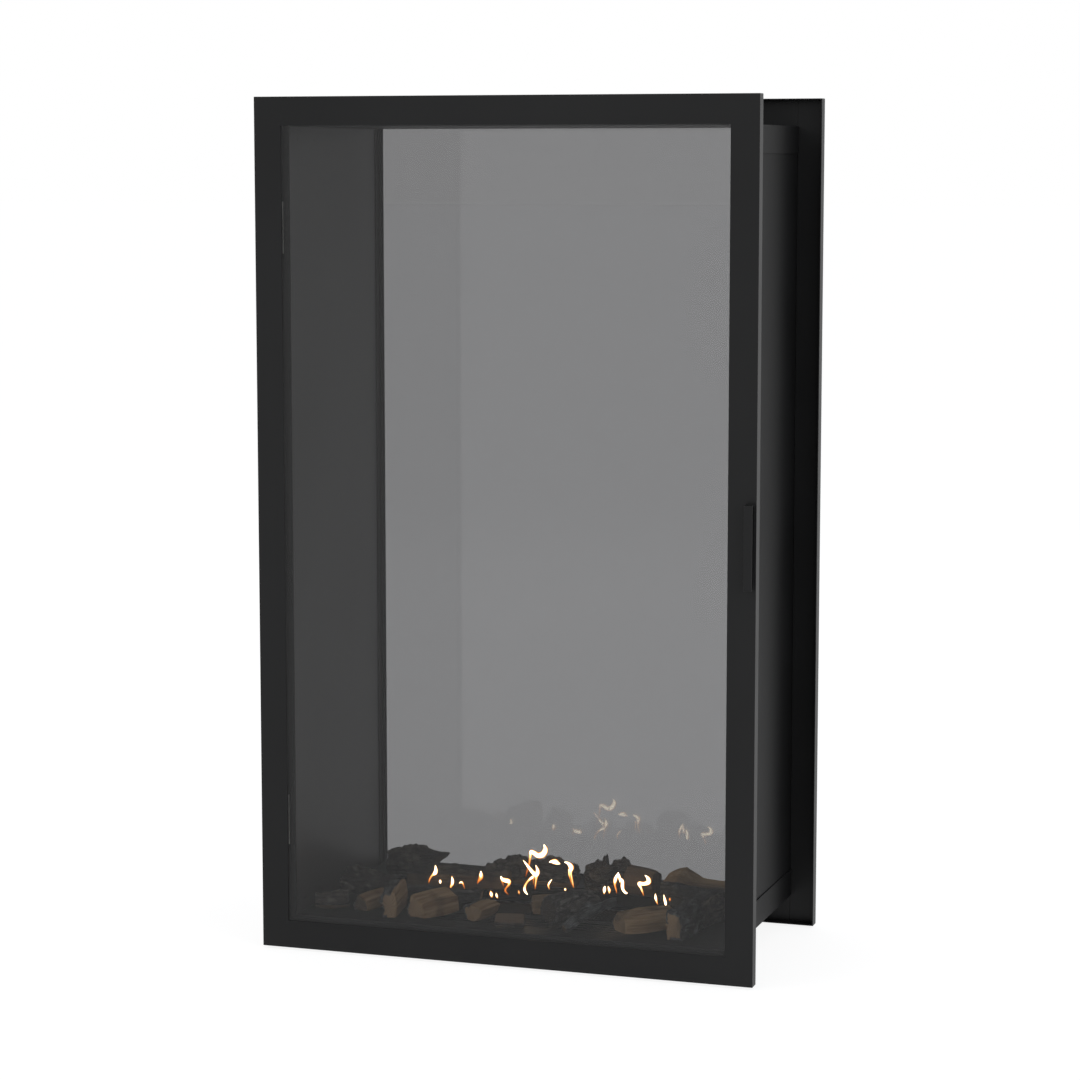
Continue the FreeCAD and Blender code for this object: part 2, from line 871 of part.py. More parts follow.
# Each log: outline, length and thickness as shares, middle across and in depth as shares of the floor,
# then its heading, tilt and roll in degrees, and its taper and bend as shares.
logs = {
    "log_back_left": (round_shares, 0.80, 1.04, -0.715, 0.745, 6, 0, 15, 0.14, 0.08),
    "log_back_long": (half_shares, 1.32, 0.92, -0.452, 0.592, 9, 0, 180, 0.10, 0.04),
    "log_back_middle": (split_shares, 1.14, 1.00, -0.143, 0.773, 4, 0, 10, 0.12, 0.06),
    "log_back_bark": (round_shares, 1.08, 1.06, 0.312, 0.709, -6, 0, 30, 0.12, 0.10),
    "log_back_right": (wedge_shares, 0.90, 1.28, 0.704, 0.590, -12, 0, 0, 0.12, 0.0),
    "log_left_dark": (half_shares, 0.42, 0.72, -0.880, 0.115, 22, 0, 160, 0.08, 0.04),
    "log_left_rear": (round_shares, 0.78, 0.84, -0.806, 0.373, -12, 0, 0, 0.16, 0.08),
    "log_stub_left": (wedge_shares, 0.56, 0.60, -0.712, 0.184, 78, 0, 0, 0.06, 0.0),
    "log_end_left": (slab_shares, 0.72, 0.82, -0.588, 0.140, 100, 0, 0, 0.06, 0.03),
    "log_cross_left": (half_shares, 1.04, 0.60, -0.452, 0.372, 8, 0, 0, 0.10, 0.06),
    "log_wedge_left": (wedge_shares, 0.76, 0.92, -0.392, 0.158, 64, 0, 0, 0.10, 0.0),
    "log_stub_middle": (half_shares, 0.42, 0.74, -0.176, 0.150, 76, 0, 0, 0.08, 0.0),
    "log_front_middle": (split_shares, 0.36, 0.52, -0.012, 0.062, 10, 0, 0, 0.06, 0.0),
    "log_wedge_middle": (wedge_shares, 0.50, 0.78, 0.098, 0.312, 24, 0, 0, 0.10, 0.0),
    "log_big_bark": (round_shares, 0.90, 1.02, 0.216, 0.180, 56, 0, 20, 0.12, 0.08),
    "log_branch": (round_shares, 0.86, 0.38, 0.322, 0.154, 60, -14, 0, 0.25, 0.30),
    "log_wedge_right": (wedge_shares, 0.78, 0.98, 0.568, 0.159, 45, 0, 0, 0.10, 0.0),
    "log_end_right": (slab_shares, 0.66, 0.92, 0.765, 0.134, 82, 0, 0, 0.06, 0.03),
    "log_right_dark": (split_shares, 0.52, 0.84, 0.822, 0.373, 76, 0, 15, 0.08, 0.04),
}
station_shares = (-0.5, -0.06, 0.5)


def log_section(outline, station, size, drop):
    points = [Vector(station, size * u, size * v + drop) for u, v in outline]
    return Part.makePolygon(points + points[:1])


def loose_log(outline, length, thickness, taper, bend):
    """Tapered and slightly bent log along X, made of flat faces."""
    sizes = (thickness * (1 - taper), thickness, thickness * (1 - taper))
    drops = (-bend * thickness, 0, -bend * thickness)
    wires = [
        log_section(outline, share * length, size, drop)
        for share, size, drop in zip(station_shares, sizes, drops)
    ]
    return Part.makeLoft(wires, True, True)


def over(one, other):
    """Whether two shapes share some ground when seen from above."""
    a, b = one.BoundBox, other.BoundBox
    return a.XMin < b.XMax and b.XMin < a.XMax and a.YMin < b.YMax and b.YMin < a.YMax


def settled(log, pile):
    """The log, lowered until it rests on what lies below it."""
    below = Part.Compound([shape for shape in pile if over(log, shape)])
    for _ in range(log_settle_steps):
        way = log.distToShape(below)[0] - log_rest_gap
        if way < log_settle_tolerance:
            break
        log.translate(Vector(0, 0, -way))
    return log


def log_pile():
    ground_x = (-side_inner, side_inner)
    ground = box(ground_x, (casing_front, rear_glass_front), (floor_under, floor_top))
    plate_x = (-burner_length / 2, burner_length / 2)
    plate_y = (burner_y - burner_width / 2, burner_y + burner_width / 2)
    plate = box(plate_x, plate_y, (floor_top, burner_plate_top))
    pile = [ground, plate] + burner_screws().Solids
    placed = {}
    floor_span = rear_glass_front - casing_front
    for name, row in logs.items():
        outline, length_share, thickness_share, x_share, y_share = row[:5]
        heading, tilt, roll, taper, bend = row[5:]
        log = loose_log(outline, length_share * log_length, thickness_share * log_thickness, taper, bend)
        log.rotate(Vector(0, 0, 0), Vector(1, 0, 0), roll)
        log.rotate(Vector(0, 0, 0), Vector(0, 1, 0), tilt)
        log.rotate(Vector(0, 0, 0), Vector(0, 0, 1), heading)
        x = x_share * side_inner
        y = casing_front + y_share * floor_span
        log.translate(Vector(x, y, burner_plate_top + log_start_height))
        placed[name] = settled(log, pile)
        pile.append(placed[name])
    return placed


def subparts():
    """Every separate piece of the insert, by name."""
    parts = {
        "side_panel_left": mirrored(side_panel_right()),
        "side_panel_right": side_panel_right(),
        "top_tray": top_tray(),
        "base_tray": base_tray(),
        "front_flange": front_flange(),
        "rear_frame_left": mirrored(rear_upright()),
        "rear_frame_right": rear_upright(),
        "rear_glass": rear_glass(),
        "rear_glass_gaskets": rear_glass_gaskets(),
        "rear_setting_blocks": rear_setting_blocks(),
        "rear_glazing_strips": rear_glazing_strips(),
        "levelling_feet": levelling_feet(),
        "foot_nuts": foot_nuts(),
        "burner_tank": burner_tank(),
        "burner_plate": burner_plate(),
        "burner_wool": burner_wool(),
        "burner_screws": burner_screws(),
        "burner_shutter": shutter(),
        "shutter_guides": shutter_guides(),
        "casing_rivets": casing_rivets(),
        "catch_magnets": catch_magnets(),
        "strike_plates": strike_plates(),
        "flange_screws": flange_screws(),
        "hinge_frame_leaf_lower": hinge_frame_leaf(hinge_centres[0]),
        "hinge_frame_leaf_upper": hinge_frame_leaf(hinge_centres[1]),
        "hinge_door_leaf_lower": hinge_door_leaf(hinge_centres[0]),
        "hinge_door_leaf_upper": hinge_door_leaf(hinge_centres[1]),
        "hinge_pins": hinge_pins(),
        "door_frame": door_frame(),
        "door_glass": door_glass(),
        "door_glass_gasket": door_glass_gasket(),
        "glass_standoffs": glass_standoffs(),
        "retainer_screws": retainer_screws(),
        "door_handle": door_handle(),
        "handle_screws": handle_screws(),
    }
    parts.update(rear_rails())
    parts.update(glass_retainers())
    parts.update(log_pile())
    return parts


os.makedirs("parts", exist_ok=True)
for node, shape in subparts().items():
    shape.exportStep("parts/" + node + ".step")
    print(node, len(shape.Solids), "solids", round(shape.Volume), "mm3")
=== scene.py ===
"""Looks for a see-through bioethanol fireplace insert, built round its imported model. Metres, Z up."""

import json
import math

import bpy
import numpy as np
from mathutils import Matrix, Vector, noise
from mathutils.bvhtree import BVHTree


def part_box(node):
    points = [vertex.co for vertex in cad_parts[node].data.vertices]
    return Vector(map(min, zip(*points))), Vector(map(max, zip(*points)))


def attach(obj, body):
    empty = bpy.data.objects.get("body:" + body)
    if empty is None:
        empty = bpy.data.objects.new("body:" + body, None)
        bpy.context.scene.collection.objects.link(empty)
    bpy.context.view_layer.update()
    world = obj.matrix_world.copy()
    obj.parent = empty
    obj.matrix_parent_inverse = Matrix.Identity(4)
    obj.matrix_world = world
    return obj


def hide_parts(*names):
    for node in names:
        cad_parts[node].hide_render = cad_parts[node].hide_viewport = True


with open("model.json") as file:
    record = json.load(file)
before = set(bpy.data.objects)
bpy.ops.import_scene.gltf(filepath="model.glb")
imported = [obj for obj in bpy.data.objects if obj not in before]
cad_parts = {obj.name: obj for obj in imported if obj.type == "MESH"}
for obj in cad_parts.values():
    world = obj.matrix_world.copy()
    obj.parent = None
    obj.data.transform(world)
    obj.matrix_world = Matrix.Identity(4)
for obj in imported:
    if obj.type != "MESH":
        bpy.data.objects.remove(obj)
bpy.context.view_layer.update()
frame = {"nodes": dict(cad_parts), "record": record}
nodes = frame["nodes"]
node_slots = {s["node"]: s["material_slot"] for s in frame["record"]["subparts"]}
plate_low, plate_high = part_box("burner_plate")
slot_middle = (plate_low.y + plate_high.y) / 2

# Camera, standing where the photo was taken from
camera_place = (1.129, -3.3965, 0.929)
camera_turn = 18.424
camera_tilt = 7.098
camera_lens = 101.32

# Studio
floor_reach = 60.0
floor_colour = (0.86, 0.86, 0.86, 1)
floor_seen_colour = (0.20, 0.20, 0.20, 1)
floor_glow = 0.876
white = (1, 1, 1, 1)
sky_fill = (0.62, 0.63, 0.65, 1)
lamps = {
    "lamp_left": dict(place=(-2.4, -2.8, 2.6), size=2.2, power=26, colour=(1.0, 0.98, 0.96)),
    "lamp_right": dict(place=(3.0, -1.6, 1.9), size=1.8, power=30, colour=(0.97, 0.98, 1.0)),
    "lamp_back": dict(place=(-0.8, 3.2, 2.4), size=2.4, power=22, colour=(1.0, 1.0, 1.0)),
}
lamp_target = (0, 0, 0.5)


def make_camera():
    camera = bpy.data.objects.new("camera", bpy.data.cameras.new("camera"))
    camera.data.lens = camera_lens
    camera.location = camera_place
    camera.rotation_euler = (math.radians(90 - camera_tilt), 0, math.radians(camera_turn))
    bpy.context.scene.collection.objects.link(camera)
    bpy.context.scene.camera = camera


def make_lamps():
    for name, lamp in lamps.items():
        light = bpy.data.lights.new(name, "AREA")
        light.size = lamp["size"]
        light.energy = lamp["power"]
        light.color = lamp["colour"]
        thing = bpy.data.objects.new(name, light)
        thing.location = lamp["place"]
        way = Vector(lamp_target) - thing.location
        thing.rotation_euler = way.to_track_quat("-Z", "Y").to_euler()
        thing.visible_camera = False
        thing.visible_glossy = False
        bpy.context.scene.collection.objects.link(thing)


# Shader nodes

def add(tree, kind, inputs=None, **settings):
    """A shader node with its settings, and with its inputs set to values or linked to sockets."""
    made = tree.nodes.new("ShaderNode" + kind)
    for key, value in settings.items():
        setattr(made, key, value)
    for key, value in (inputs or {}).items():
        if isinstance(value, bpy.types.NodeSocket):
            tree.links.new(value, made.inputs[key])
        else:
            made.inputs[key].default_value = value
    return made


def new_material(name):
    material = bpy.data.materials.new(name)
    material.use_nodes = True
    material.node_tree.nodes.clear()
    return material, material.node_tree


def show(tree, shader):
    add(tree, "OutputMaterial", {"Surface": shader.outputs[0]})


def maths(tree, operation, *values, clamp=False):
    """The result of a maths node on sockets or numbers."""
    return add(tree, "Math", dict(enumerate(values)), operation=operation, use_clamp=clamp).outputs[0]


def mixed(tree, share, first, second):
    """Colour between two colours."""
    return add(tree, "Mix", {0: share, 6: first, 7: second}, data_type="RGBA").outputs[2]


def ramp(tree, value, stops):
    """Colour along a ramp of places and colours or greys."""
    made = add(tree, "ValToRGB", {0: value})
    elements = made.color_ramp.elements
    while len(elements) < len(stops):
        elements.new(1)
    for element, (place, colour) in zip(elements, stops):
        element.position = place
        grey = not isinstance(colour, tuple)
        element.color = (colour, colour, colour, 1) if grey else (*colour, 1)
    return made.outputs[0]


def fade(tree, value, span, levels=(0.0, 1.0)):
    """A grey that goes from one level to another while the value crosses the span."""
    return ramp(tree, value, list(zip(span, levels)))


def noisy(tree, place, scale, detail=3, roughness=0.5, distortion=0):
    """Noise at a scale, or stretched by a scale along each axis."""
    if isinstance(scale, tuple):
        place = add(tree, "Mapping", {"Vector": place, "Scale": scale}).outputs[0]
        scale = 1
    inputs = {"Vector": place, "Scale": scale, "Detail": detail, "Roughness": roughness,
              "Distortion": distortion}
    return add(tree, "TexNoise", inputs).outputs[0]


def row_place(tree):
    """Place in the row frame, in metres."""
    return add(tree, "TexCoord").outputs["Object"]


def bumped(tree, height, distance, **more):
    return add(tree, "Bump", {"Height": height, "Distance": distance, **more}).outputs[0]


def held(tree, name, kind="Fac"):
    """What each point of the mesh holds under a name."""
    return add(tree, "Attribute", attribute_name=name).outputs[kind]


def straight_ray(tree):
    """One for what the camera sees straight, through glass or in a mirror, and zero for fill light."""
    path = add(tree, "LightPath")
    straight = maths(tree, "MAXIMUM", path.outputs["Is Camera Ray"], path.outputs["Is Glossy Ray"])
    return maths(tree, "MAXIMUM", straight, path.outputs["Is Transmission Ray"])


def new_piece(name, points, faces, material, smooth=True):
    mesh = bpy.data.meshes.new(name)
    mesh.from_pydata([tuple(p) for p in points], [], faces)
    mesh.materials.append(material)
    mesh.polygons.foreach_set("use_smooth", [smooth] * len(mesh.polygons))
    piece = bpy.data.objects.new(name, mesh)
    bpy.context.scene.collection.objects.link(piece)
    return piece


def make_floor():
    """Pale floor. Its own glow makes it white for the camera, and its matt part keeps a faint shadow."""
    corners = [(x * floor_reach, y * floor_reach, 0) for x, y in ((-1, -1), (1, -1), (1, 1), (-1, 1))]
    material, tree = new_material("pale_floor")
    straight = straight_ray(tree)
    matt = add(tree, "BsdfDiffuse", {"Color": mixed(tree, straight, floor_colour, floor_seen_colour)})
    glow_strength = maths(tree, "MULTIPLY", straight, floor_glow)
    glow = add(tree, "Emission", {"Color": white, "Strength": glow_strength})
    show(tree, add(tree, "AddShader", {0: matt.outputs[0], 1: glow.outputs[0]}))
    floor = new_piece("floor", corners, [[0, 1, 2, 3]], material, smooth=False)


def make_world():
    """White room for sight and reflections, and a softer grey one for fill light."""
    world = bpy.data.worlds.new("studio")
    bpy.context.scene.world = world
    world.use_nodes = True
    tree = world.node_tree
    tree.nodes.clear()
    colour = mixed(tree, straight_ray(tree), sky_fill, white)
    sky = add(tree, "Background", {"Color": colour, "Strength": 1.0})
    add(tree, "OutputWorld", {"Surface": sky.outputs[0]})


# Powder coat. The casing coat is on the outside of the casing, the inner coat on the faces of its sides that
# look into the fire chamber, and the outer coat on every other coated piece. The inner coat is the same black
# coat painted lighter and glossier: painted light for the light that falls into the chamber.
outer_coat_looks = {
    "colour": (0.0066, 0.0067, 0.0070),
    "worn_colour": (0.0100, 0.0101, 0.0104),
    "roughness": (0.42, 0.50),
    "shine": 0.22,
    "index": 1.5,
}
casing_coat_looks = {
    **outer_coat_looks,
    "colour": (0.0072, 0.0073, 0.0075),
    "worn_colour": (0.0105, 0.0106, 0.0109),
    "shine": 1.0,
    "index": 1.10,
}
# Painted light: the black coat made about four times lighter and glossier, for the light inside the fire
# chamber
chamber_coat_painted_light_looks = {
    **outer_coat_looks,
    "colour": (0.026, 0.026, 0.026),
    "worn_colour": (0.034, 0.034, 0.033),
    "roughness": (0.36, 0.44),
    "shine": 0.60,
}
casing_nodes = {"side_panel_left", "side_panel_right", "top_tray", "base_tray"}
inside_facing_share = 0.9
coat_cloud_scale = 5
coat_worn_span = (0.35, 0.7)
coat_gloss_span = (0.3, 0.75)
coat_peel_scale = 260
coat_peel_depth = 0.00003
coat_grain_scale = 900
coat_grain_depth = 0.000008


def powder_coat(name, looks):
    """Satin black powder coat with a fine orange peel."""
    material, tree = new_material(name)
    place = row_place(tree)
    clouds = noisy(tree, place, coat_cloud_scale, detail=4)
    peel = noisy(tree, place, coat_peel_scale, detail=2)
    grain = noisy(tree, place, coat_grain_scale, detail=1)
    worn = fade(tree, clouds, coat_worn_span)
    coarse = bumped(tree, peel, coat_peel_depth)
    show(tree, add(tree, "BsdfPrincipled", {
        "Base Color": mixed(tree, worn, (*looks["colour"], 1), (*looks["worn_colour"], 1)),
        "Roughness": fade(tree, clouds, coat_gloss_span, looks["roughness"]),
        "Specular IOR Level": looks["shine"],
        "IOR": looks["index"],
        "Normal": bumped(tree, grain, coat_grain_depth, Normal=coarse),
    }))
    return material


# Glass: what each face of a pane lets through, its index of reflection and the strength of its faint glow, a
# painted reflection of the bright room
door_glass_looks = (0.870, 1.14, 0.0118)
rear_glass_looks = (0.493, 1.42, 0.0)
glass_blue_share = 1.004
haze_scale = 3
haze_span = (0.4, 0.8)
haze_roughness = (0.0, 0.012)


def smoked_glass(name, see_share, reflect_index, painted_veil_light):
    """Flat tinted pane. Each face passes see_share of the light, mirrors the room and gives off a faint even
    glow, a painted reflection of the bright room.
    """
    material, tree = new_material(name)
    haze = fade(tree, noisy(tree, row_place(tree), haze_scale, detail=2), haze_span, haze_roughness)
    tint = (see_share, see_share, see_share * glass_blue_share, 1)
    through = add(tree, "BsdfTransparent", {"Color": tint})
    mirror = add(tree, "BsdfGlossy", {"Color": white, "Roughness": haze})
    share = add(tree, "Fresnel", {"IOR": reflect_index}).outputs[0]
    pane = add(tree, "MixShader", {0: share, 1: through.outputs[0], 2: mirror.outputs[0]})
    if painted_veil_light:
        # Painted reflection: a faint white glow over the pane that stands in for the veil a bright room casts
        # on it
        painted_veil = add(tree, "Emission", {"Color": white, "Strength": painted_veil_light})
        pane = add(tree, "AddShader", {0: pane.outputs[0], 1: painted_veil.outputs[0]})
    show(tree, pane)
    return material


# Rubber
mottle_scale = 600
rubber_stops = [(0.3, (0.010, 0.010, 0.010)), (0.8, (0.022, 0.022, 0.021))]
rubber_span = (0.3, 0.8)
rubber_roughness = (0.72, 0.88)
rubber_depth = 0.00005


def black_rubber():
    material, tree = new_material("black_rubber")
    mottle = noisy(tree, row_place(tree), mottle_scale, detail=4)
    show(tree, add(tree, "BsdfPrincipled", {
        "Base Color": ramp(tree, mottle, rubber_stops),
        "Roughness": fade(tree, mottle, rubber_span, rubber_roughness),
        "Normal": bumped(tree, mottle, rubber_depth),
    }))
    return material


# Zinc plate
spangle_scale = 180
spangle_stops = [(0.3, (0.46, 0.46, 0.45)), (0.7, (0.62, 0.61, 0.57))]
scratch_scales = (60, 900, 900)
scratch_span = (0.3, 0.7)
zinc_roughness = (0.28, 0.46)
scratch_depth = 0.00002


def zinc_plate():
    """Zinc plated steel: soft spangle, small scratches and a faint yellow cast."""
    material, tree = new_material("zinc_plate")
    place = row_place(tree)
    scratch = noisy(tree, place, scratch_scales, detail=2)
    show(tree, add(tree, "BsdfPrincipled", {
        "Base Color": ramp(tree, noisy(tree, place, spangle_scale, detail=2), spangle_stops),
        "Roughness": fade(tree, scratch, scratch_span, zinc_roughness),
        "Metallic": 1.0,
        "Normal": bumped(tree, scratch, scratch_depth),
    }))
    return material


# Burner steel. Its stain goes by the distance from the flame slot's middle, made uneven by clouds.
brushed_scales = (12, 700, 700)
brushed_span = (0.3, 0.7)
burner_roughness = (0.48, 0.66)
brushed_depth = 0.00003
burner_edge_tint = (0.12, 0.12, 0.12, 1)
stain_cloud_scale = 30
stain_wander = 0.012
stain_rate = 14
stain_stops = [
    (0.15, (0.012, 0.011, 0.011)), (0.26, (0.024, 0.020, 0.022)), (0.36, (0.040, 0.029, 0.020)),
    (0.52, (0.050, 0.043, 0.033)), (0.75, (0.060, 0.058, 0.055)),
]


def burner_steel():
    """Stainless steel, brushed along its length and heat stained beside the flame slot."""
    material, tree = new_material("burner_steel")
    place = row_place(tree)
    brushed = noisy(tree, place, brushed_scales)
    clouds = noisy(tree, place, stain_cloud_scale)
    across = add(tree, "SeparateXYZ", {0: place}).outputs["Y"]
    away = maths(tree, "ABSOLUTE", maths(tree, "SUBTRACT", across, slot_middle))
    uneven = maths(tree, "MULTIPLY_ADD", clouds, stain_wander, -stain_wander / 2)
    stain = maths(tree, "MULTIPLY", maths(tree, "ADD", away, uneven), stain_rate)
    show(tree, add(tree, "BsdfPrincipled", {
        "Base Color": ramp(tree, stain, stain_stops),
        "Roughness": fade(tree, brushed, brushed_span, burner_roughness),
        "Metallic": 1.0,
        "Specular Tint": burner_edge_tint,
        "Normal": bumped(tree, brushed, brushed_depth),
    }))
    return material


# Wool in the burner
wool_step = 0.004
wool_rise = 0.0016
wool_inset = 0.0006
fluff_scale = 160
fine_fluff_scale = 420
fine_fluff_share = 0.5
fluff_rise_share = 0.45
edge_drop_share = 1.2
level_inset_shares = (0, -0.4, 0.5)
wool_fibre_scales = (900, 260, 500)
wool_fibre_depth = 0.0008
wool_clump_scale = 90
wool_stops = [(0.3, (0.50, 0.47, 0.42)), (0.5, (0.72, 0.70, 0.66)), (0.8, (0.82, 0.81, 0.79))]
wool_roughness = 0.95


def wool_material():
    material, tree = new_material("wool")
    place = row_place(tree)
    fibres = noisy(tree, place, wool_fibre_scales, detail=5, distortion=2)
    show(tree, add(tree, "BsdfPrincipled", {
        "Base Color": ramp(tree, noisy(tree, place, wool_clump_scale), wool_stops),
        "Roughness": wool_roughness,
        "Normal": bumped(tree, fibres, wool_fibre_depth),
    }))
    return material


def wool_mat():
    """Fluffy mat in the tank: a block whose top swells and whose edges draw in."""
    low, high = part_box("burner_wool")
    low = low + Vector((wool_inset, wool_inset, 0))
    high = high - Vector((wool_inset, wool_inset, wool_rise))
    columns = round((high.x - low.x) / wool_step)
    rows = round((high.y - low.y) / wool_step)
    points = []
    for level, inset_share in enumerate(level_inset_shares):
        for j in range(rows + 1):
            for i in range(columns + 1):
                u, v = i / columns, j / rows
                edge = min(min(u, 1 - u) * columns, min(v, 1 - v) * rows)
                drawn = math.exp(-edge)
                spot = Vector((low.x + u * (high.x - low.x), low.y + v * (high.y - low.y), 0))
                fluff = noise.noise(spot * fluff_scale)
                fluff += fine_fluff_share * noise.noise(spot * fine_fluff_scale)
                top = high.z + wool_rise * (fluff_rise_share * fluff - edge_drop_share * drawn)
                height = (low.z, (low.z + high.z) / 2, top)[level]
                inward = wool_rise * drawn * inset_share
                spot.x += inward if u < 0.5 else -inward
                spot.y += inward if v < 0.5 else -inward
                points.append((spot.x, spot.y, height))
    layer = (rows + 1) * (columns + 1)
    rim = [(0, i) for i in range(columns)] + [(j, columns) for j in range(rows)]
    rim += [(rows, i) for i in range(columns, 0, -1)] + [(j, 0) for j in range(rows, 0, -1)]

    def corner(level, j, i):
        return level * layer + j * (columns + 1) + i

    faces = []
    for j in range(rows):
        for i in range(columns):
            faces.append([corner(2, j, i), corner(2, j, i + 1), corner(2, j + 1, i + 1), corner(2, j + 1, i)])
            faces.append([corner(0, j + 1, i), corner(0, j + 1, i + 1), corner(0, j, i + 1), corner(0, j, i)])
    for level in (0, 1):
        for here, there in zip(rim, rim[1:] + rim[:1]):
            faces.append([corner(level, *here), corner(level, *there),
                          corner(level + 1, *there), corner(level + 1, *here)])
    mat = new_piece("wool_mat", points, faces, wool_material())
    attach(mat, "casing")
    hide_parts("burner_wool")


# Logs
log_around = 128
log_step = 0.0017
least_log_steps = 12
cap_rings = 9
axis_hint = Vector((0.5, 1, 0))
end_facing_share = 0.9
crisp_angle = math.radians(38)

# Each log. bark: where its bark starts and ends round it, in degrees. pale: how pale its wood and how
# ashen its bark is. crag: height of its bark plates. rise: how far its upper half is raised or flattened.
# cut: how much of its near and far end is broken off. fresh: how fresh those ends look. ragged: depth of
# their splinters. beak: what sticks out of its far end, as angle, spread and length. bare: the share along
# it beyond which it has lost its bark. tops: how much higher its top stands, as shares along and heights.
# chunks: what stands out of it, as share along, angle, length, width and height.
log_defaults = dict(pale=0.5, crag=0.0020, rise=1.0, cut=(0, 0), fresh=0.6, ragged=0.002,
                    beak=(0, 1, 0), bare=2.0, tops=((0, 1), (0, 0)), chunks=[])
log_looks = {
    "log_back_left": dict(bark=(0, 360), pale=0.20, crag=0.0034, rise=0.93, cut=(0, 0.013), ragged=0.006,
                          beak=(72, 34, 0.016), chunks=[(0.55, 85, 0.050, 0.020, 0.003)]),
    "log_back_long": dict(bark=(-30, 150), pale=0.30, crag=0.0014, rise=1.28, ragged=0.006, chunks=[
        (0.80, 88, 0.016, 0.012, 0.004), (0.35, 95, 0.06, 0.014, 0.002)]),
    "log_back_middle": dict(bark=(-20, 200), pale=0.30, crag=0.0030, ragged=0.008, chunks=[
        (0.30, 95, 0.030, 0.018, 0.004), (0.70, 80, 0.022, 0.016, 0.003)]),
    "log_back_bark": dict(bark=(0, 360), pale=0.15, crag=0.0036, rise=0.90, cut=(0, 0.010), ragged=0.008,
                          bare=0.60, chunks=[
                              (0.30, 94, 0.0062, 0.008, 0.011), (0.24, 100, 0.020, 0.020, 0.005),
                              (0.47, 84, 0.026, 0.012, 0.0055), (0.53, 76, 0.014, 0.010, 0.0035)]),
    "log_back_right": dict(bark=(138, 400), pale=0.80, crag=0.0026, fresh=0.3,
                           tops=((0, 0.24, 0.5, 1), (0.001, 0.007, -0.005, -0.005))),
    "log_left_dark": dict(bark=(-60, 190), pale=0.20),
    "log_left_rear": dict(bark=(0, 360), pale=0.30, crag=0.0026, fresh=0.2, ragged=0.007, chunks=[
        (0.20, 95, 0.020, 0.012, 0.006)]),
    "log_stub_left": dict(bark=(-60, 60), pale=0.90, fresh=0.1),
    "log_end_left": dict(bark=(-80, 100), pale=0.90, crag=0.0026, rise=1.12, fresh=0.9),
    "log_cross_left": dict(bark=(20, 375), pale=0.60, crag=0.0026, rise=0.90, ragged=0.006, chunks=[
        (0.90, 60, 0.014, 0.012, 0.003)]),
    "log_wedge_left": dict(bark=(-50, 40), pale=0.95, crag=0.0022, cut=(0, 0.016), fresh=0.9),
    "log_stub_middle": dict(bark=(-40, 60), pale=0.85, crag=0.0022, fresh=0.9),
    "log_front_middle": dict(bark=(180, 360), pale=0.10, crag=0.0012, fresh=0.3),
    "log_wedge_middle": dict(bark=(-45, 40), pale=0.90, rise=0.86, fresh=0.9),
    "log_big_bark": dict(bark=(0, 360), pale=0.40, crag=0.0018, cut=(0.014, 0.004), fresh=0.0,
                         ragged=0.006, chunks=[(0.5, 120, 0.030, 0.016, 0.003)]),
    "log_branch": dict(bark=(0, 360), pale=0.95, crag=0.0010, fresh=0.2, ragged=0.004, chunks=[
        (0.55, 60, 0.008, 0.006, 0.004)]),
    "log_wedge_right": dict(bark=(-45, 45), pale=0.90, rise=0.72, cut=(0.006, 0), fresh=0.9),
    "log_end_right": dict(bark=(20, 290), pale=0.90, crag=0.0028, rise=1.06, fresh=0.9),
    "log_right_dark": dict(bark=(0, 360), pale=0.05, crag=0.0017, fresh=0.1, ragged=0.006, chunks=[
        (0.6, 95, 0.020, 0.014, 0.004)]),
}

# Where bark ends, and charring
bark_fade = 7.0
bare_fade_share = 0.02
char_distance_span = (0.010, 0.045)
char_height_share = 0.6
near_char_share = 0.75
soot_scale = 38
soot_span = (0.12, 0.45)
soot_share = 0.55

# Bark plates, as scales along and across a log
plate_scales = (24, 125)
flake_scales = (90, 210)
plate_share = 0.5
plate_bend = Vector((0, 0.5, 0.5))
plate_bend_scale = 0.8
plate_furrow_span = (0.0, 0.30)
plate_thickness = 0.62
plate_variation = 0.75
plate_cell_scale = 5.3
plate_gain = 1.9

# Lumps, raised grain and splits of the wood
lump_scale = 42
fine_lump_scale = 95
fine_lump_share = 0.5
bark_lump_share = 1.1
wood_lump_height = 0.0005
raised_grain_scales = (9, 260)
raised_grain_height = 0.00025
split_scales = (7, 80)
split_span = (0.04, 0.12)
split_depth = 0.0008

# Chunks
chunk_wobble_share = 0.35
chunk_wobble_scale = 150
chunk_edge_span = (0.55, 1.05)
chunk_grain_share = 0.35
chunk_grain_scale = 230

# Ends of the logs
end_margin_share = 0.004
end_rounding_share = 0.05
end_rounding_rate = 0.9
end_reach_share = 0.16
splinter_scale = 1.7
fine_splinter_scale = 3.5
coarse_splinter_share = 0.65
splinter_seed_step = 3
end_grain = ((0.0006, 220), (0.0012, 70))
crack_scale = 2.4
crack_width = 0.10
crack_depth_share = 0.012
bark_rim_span = (0.80, 0.92)
end_relief_share = 0.5
seed_steps = (0.731, 0.417, 0.213)


def smooth_step(value, low, high):
    share = min(1.0, max(0.0, (value - low) / (high - low)))
    return share * share * (3 - 2 * share)


def noise_share(spot):
    """Noise at a spot, from 0 to 1."""
    return 0.5 + 0.5 * noise.noise(spot)


def turned(angle, start):
    """How far an angle is turned from another, from -180 to 180 degrees."""
    return (angle - start + 180) % 360 - 180


def squeezed(spot, along_scale, across_scale):
    return Vector((spot.x * along_scale, spot.y * across_scale, spot.z * across_scale))


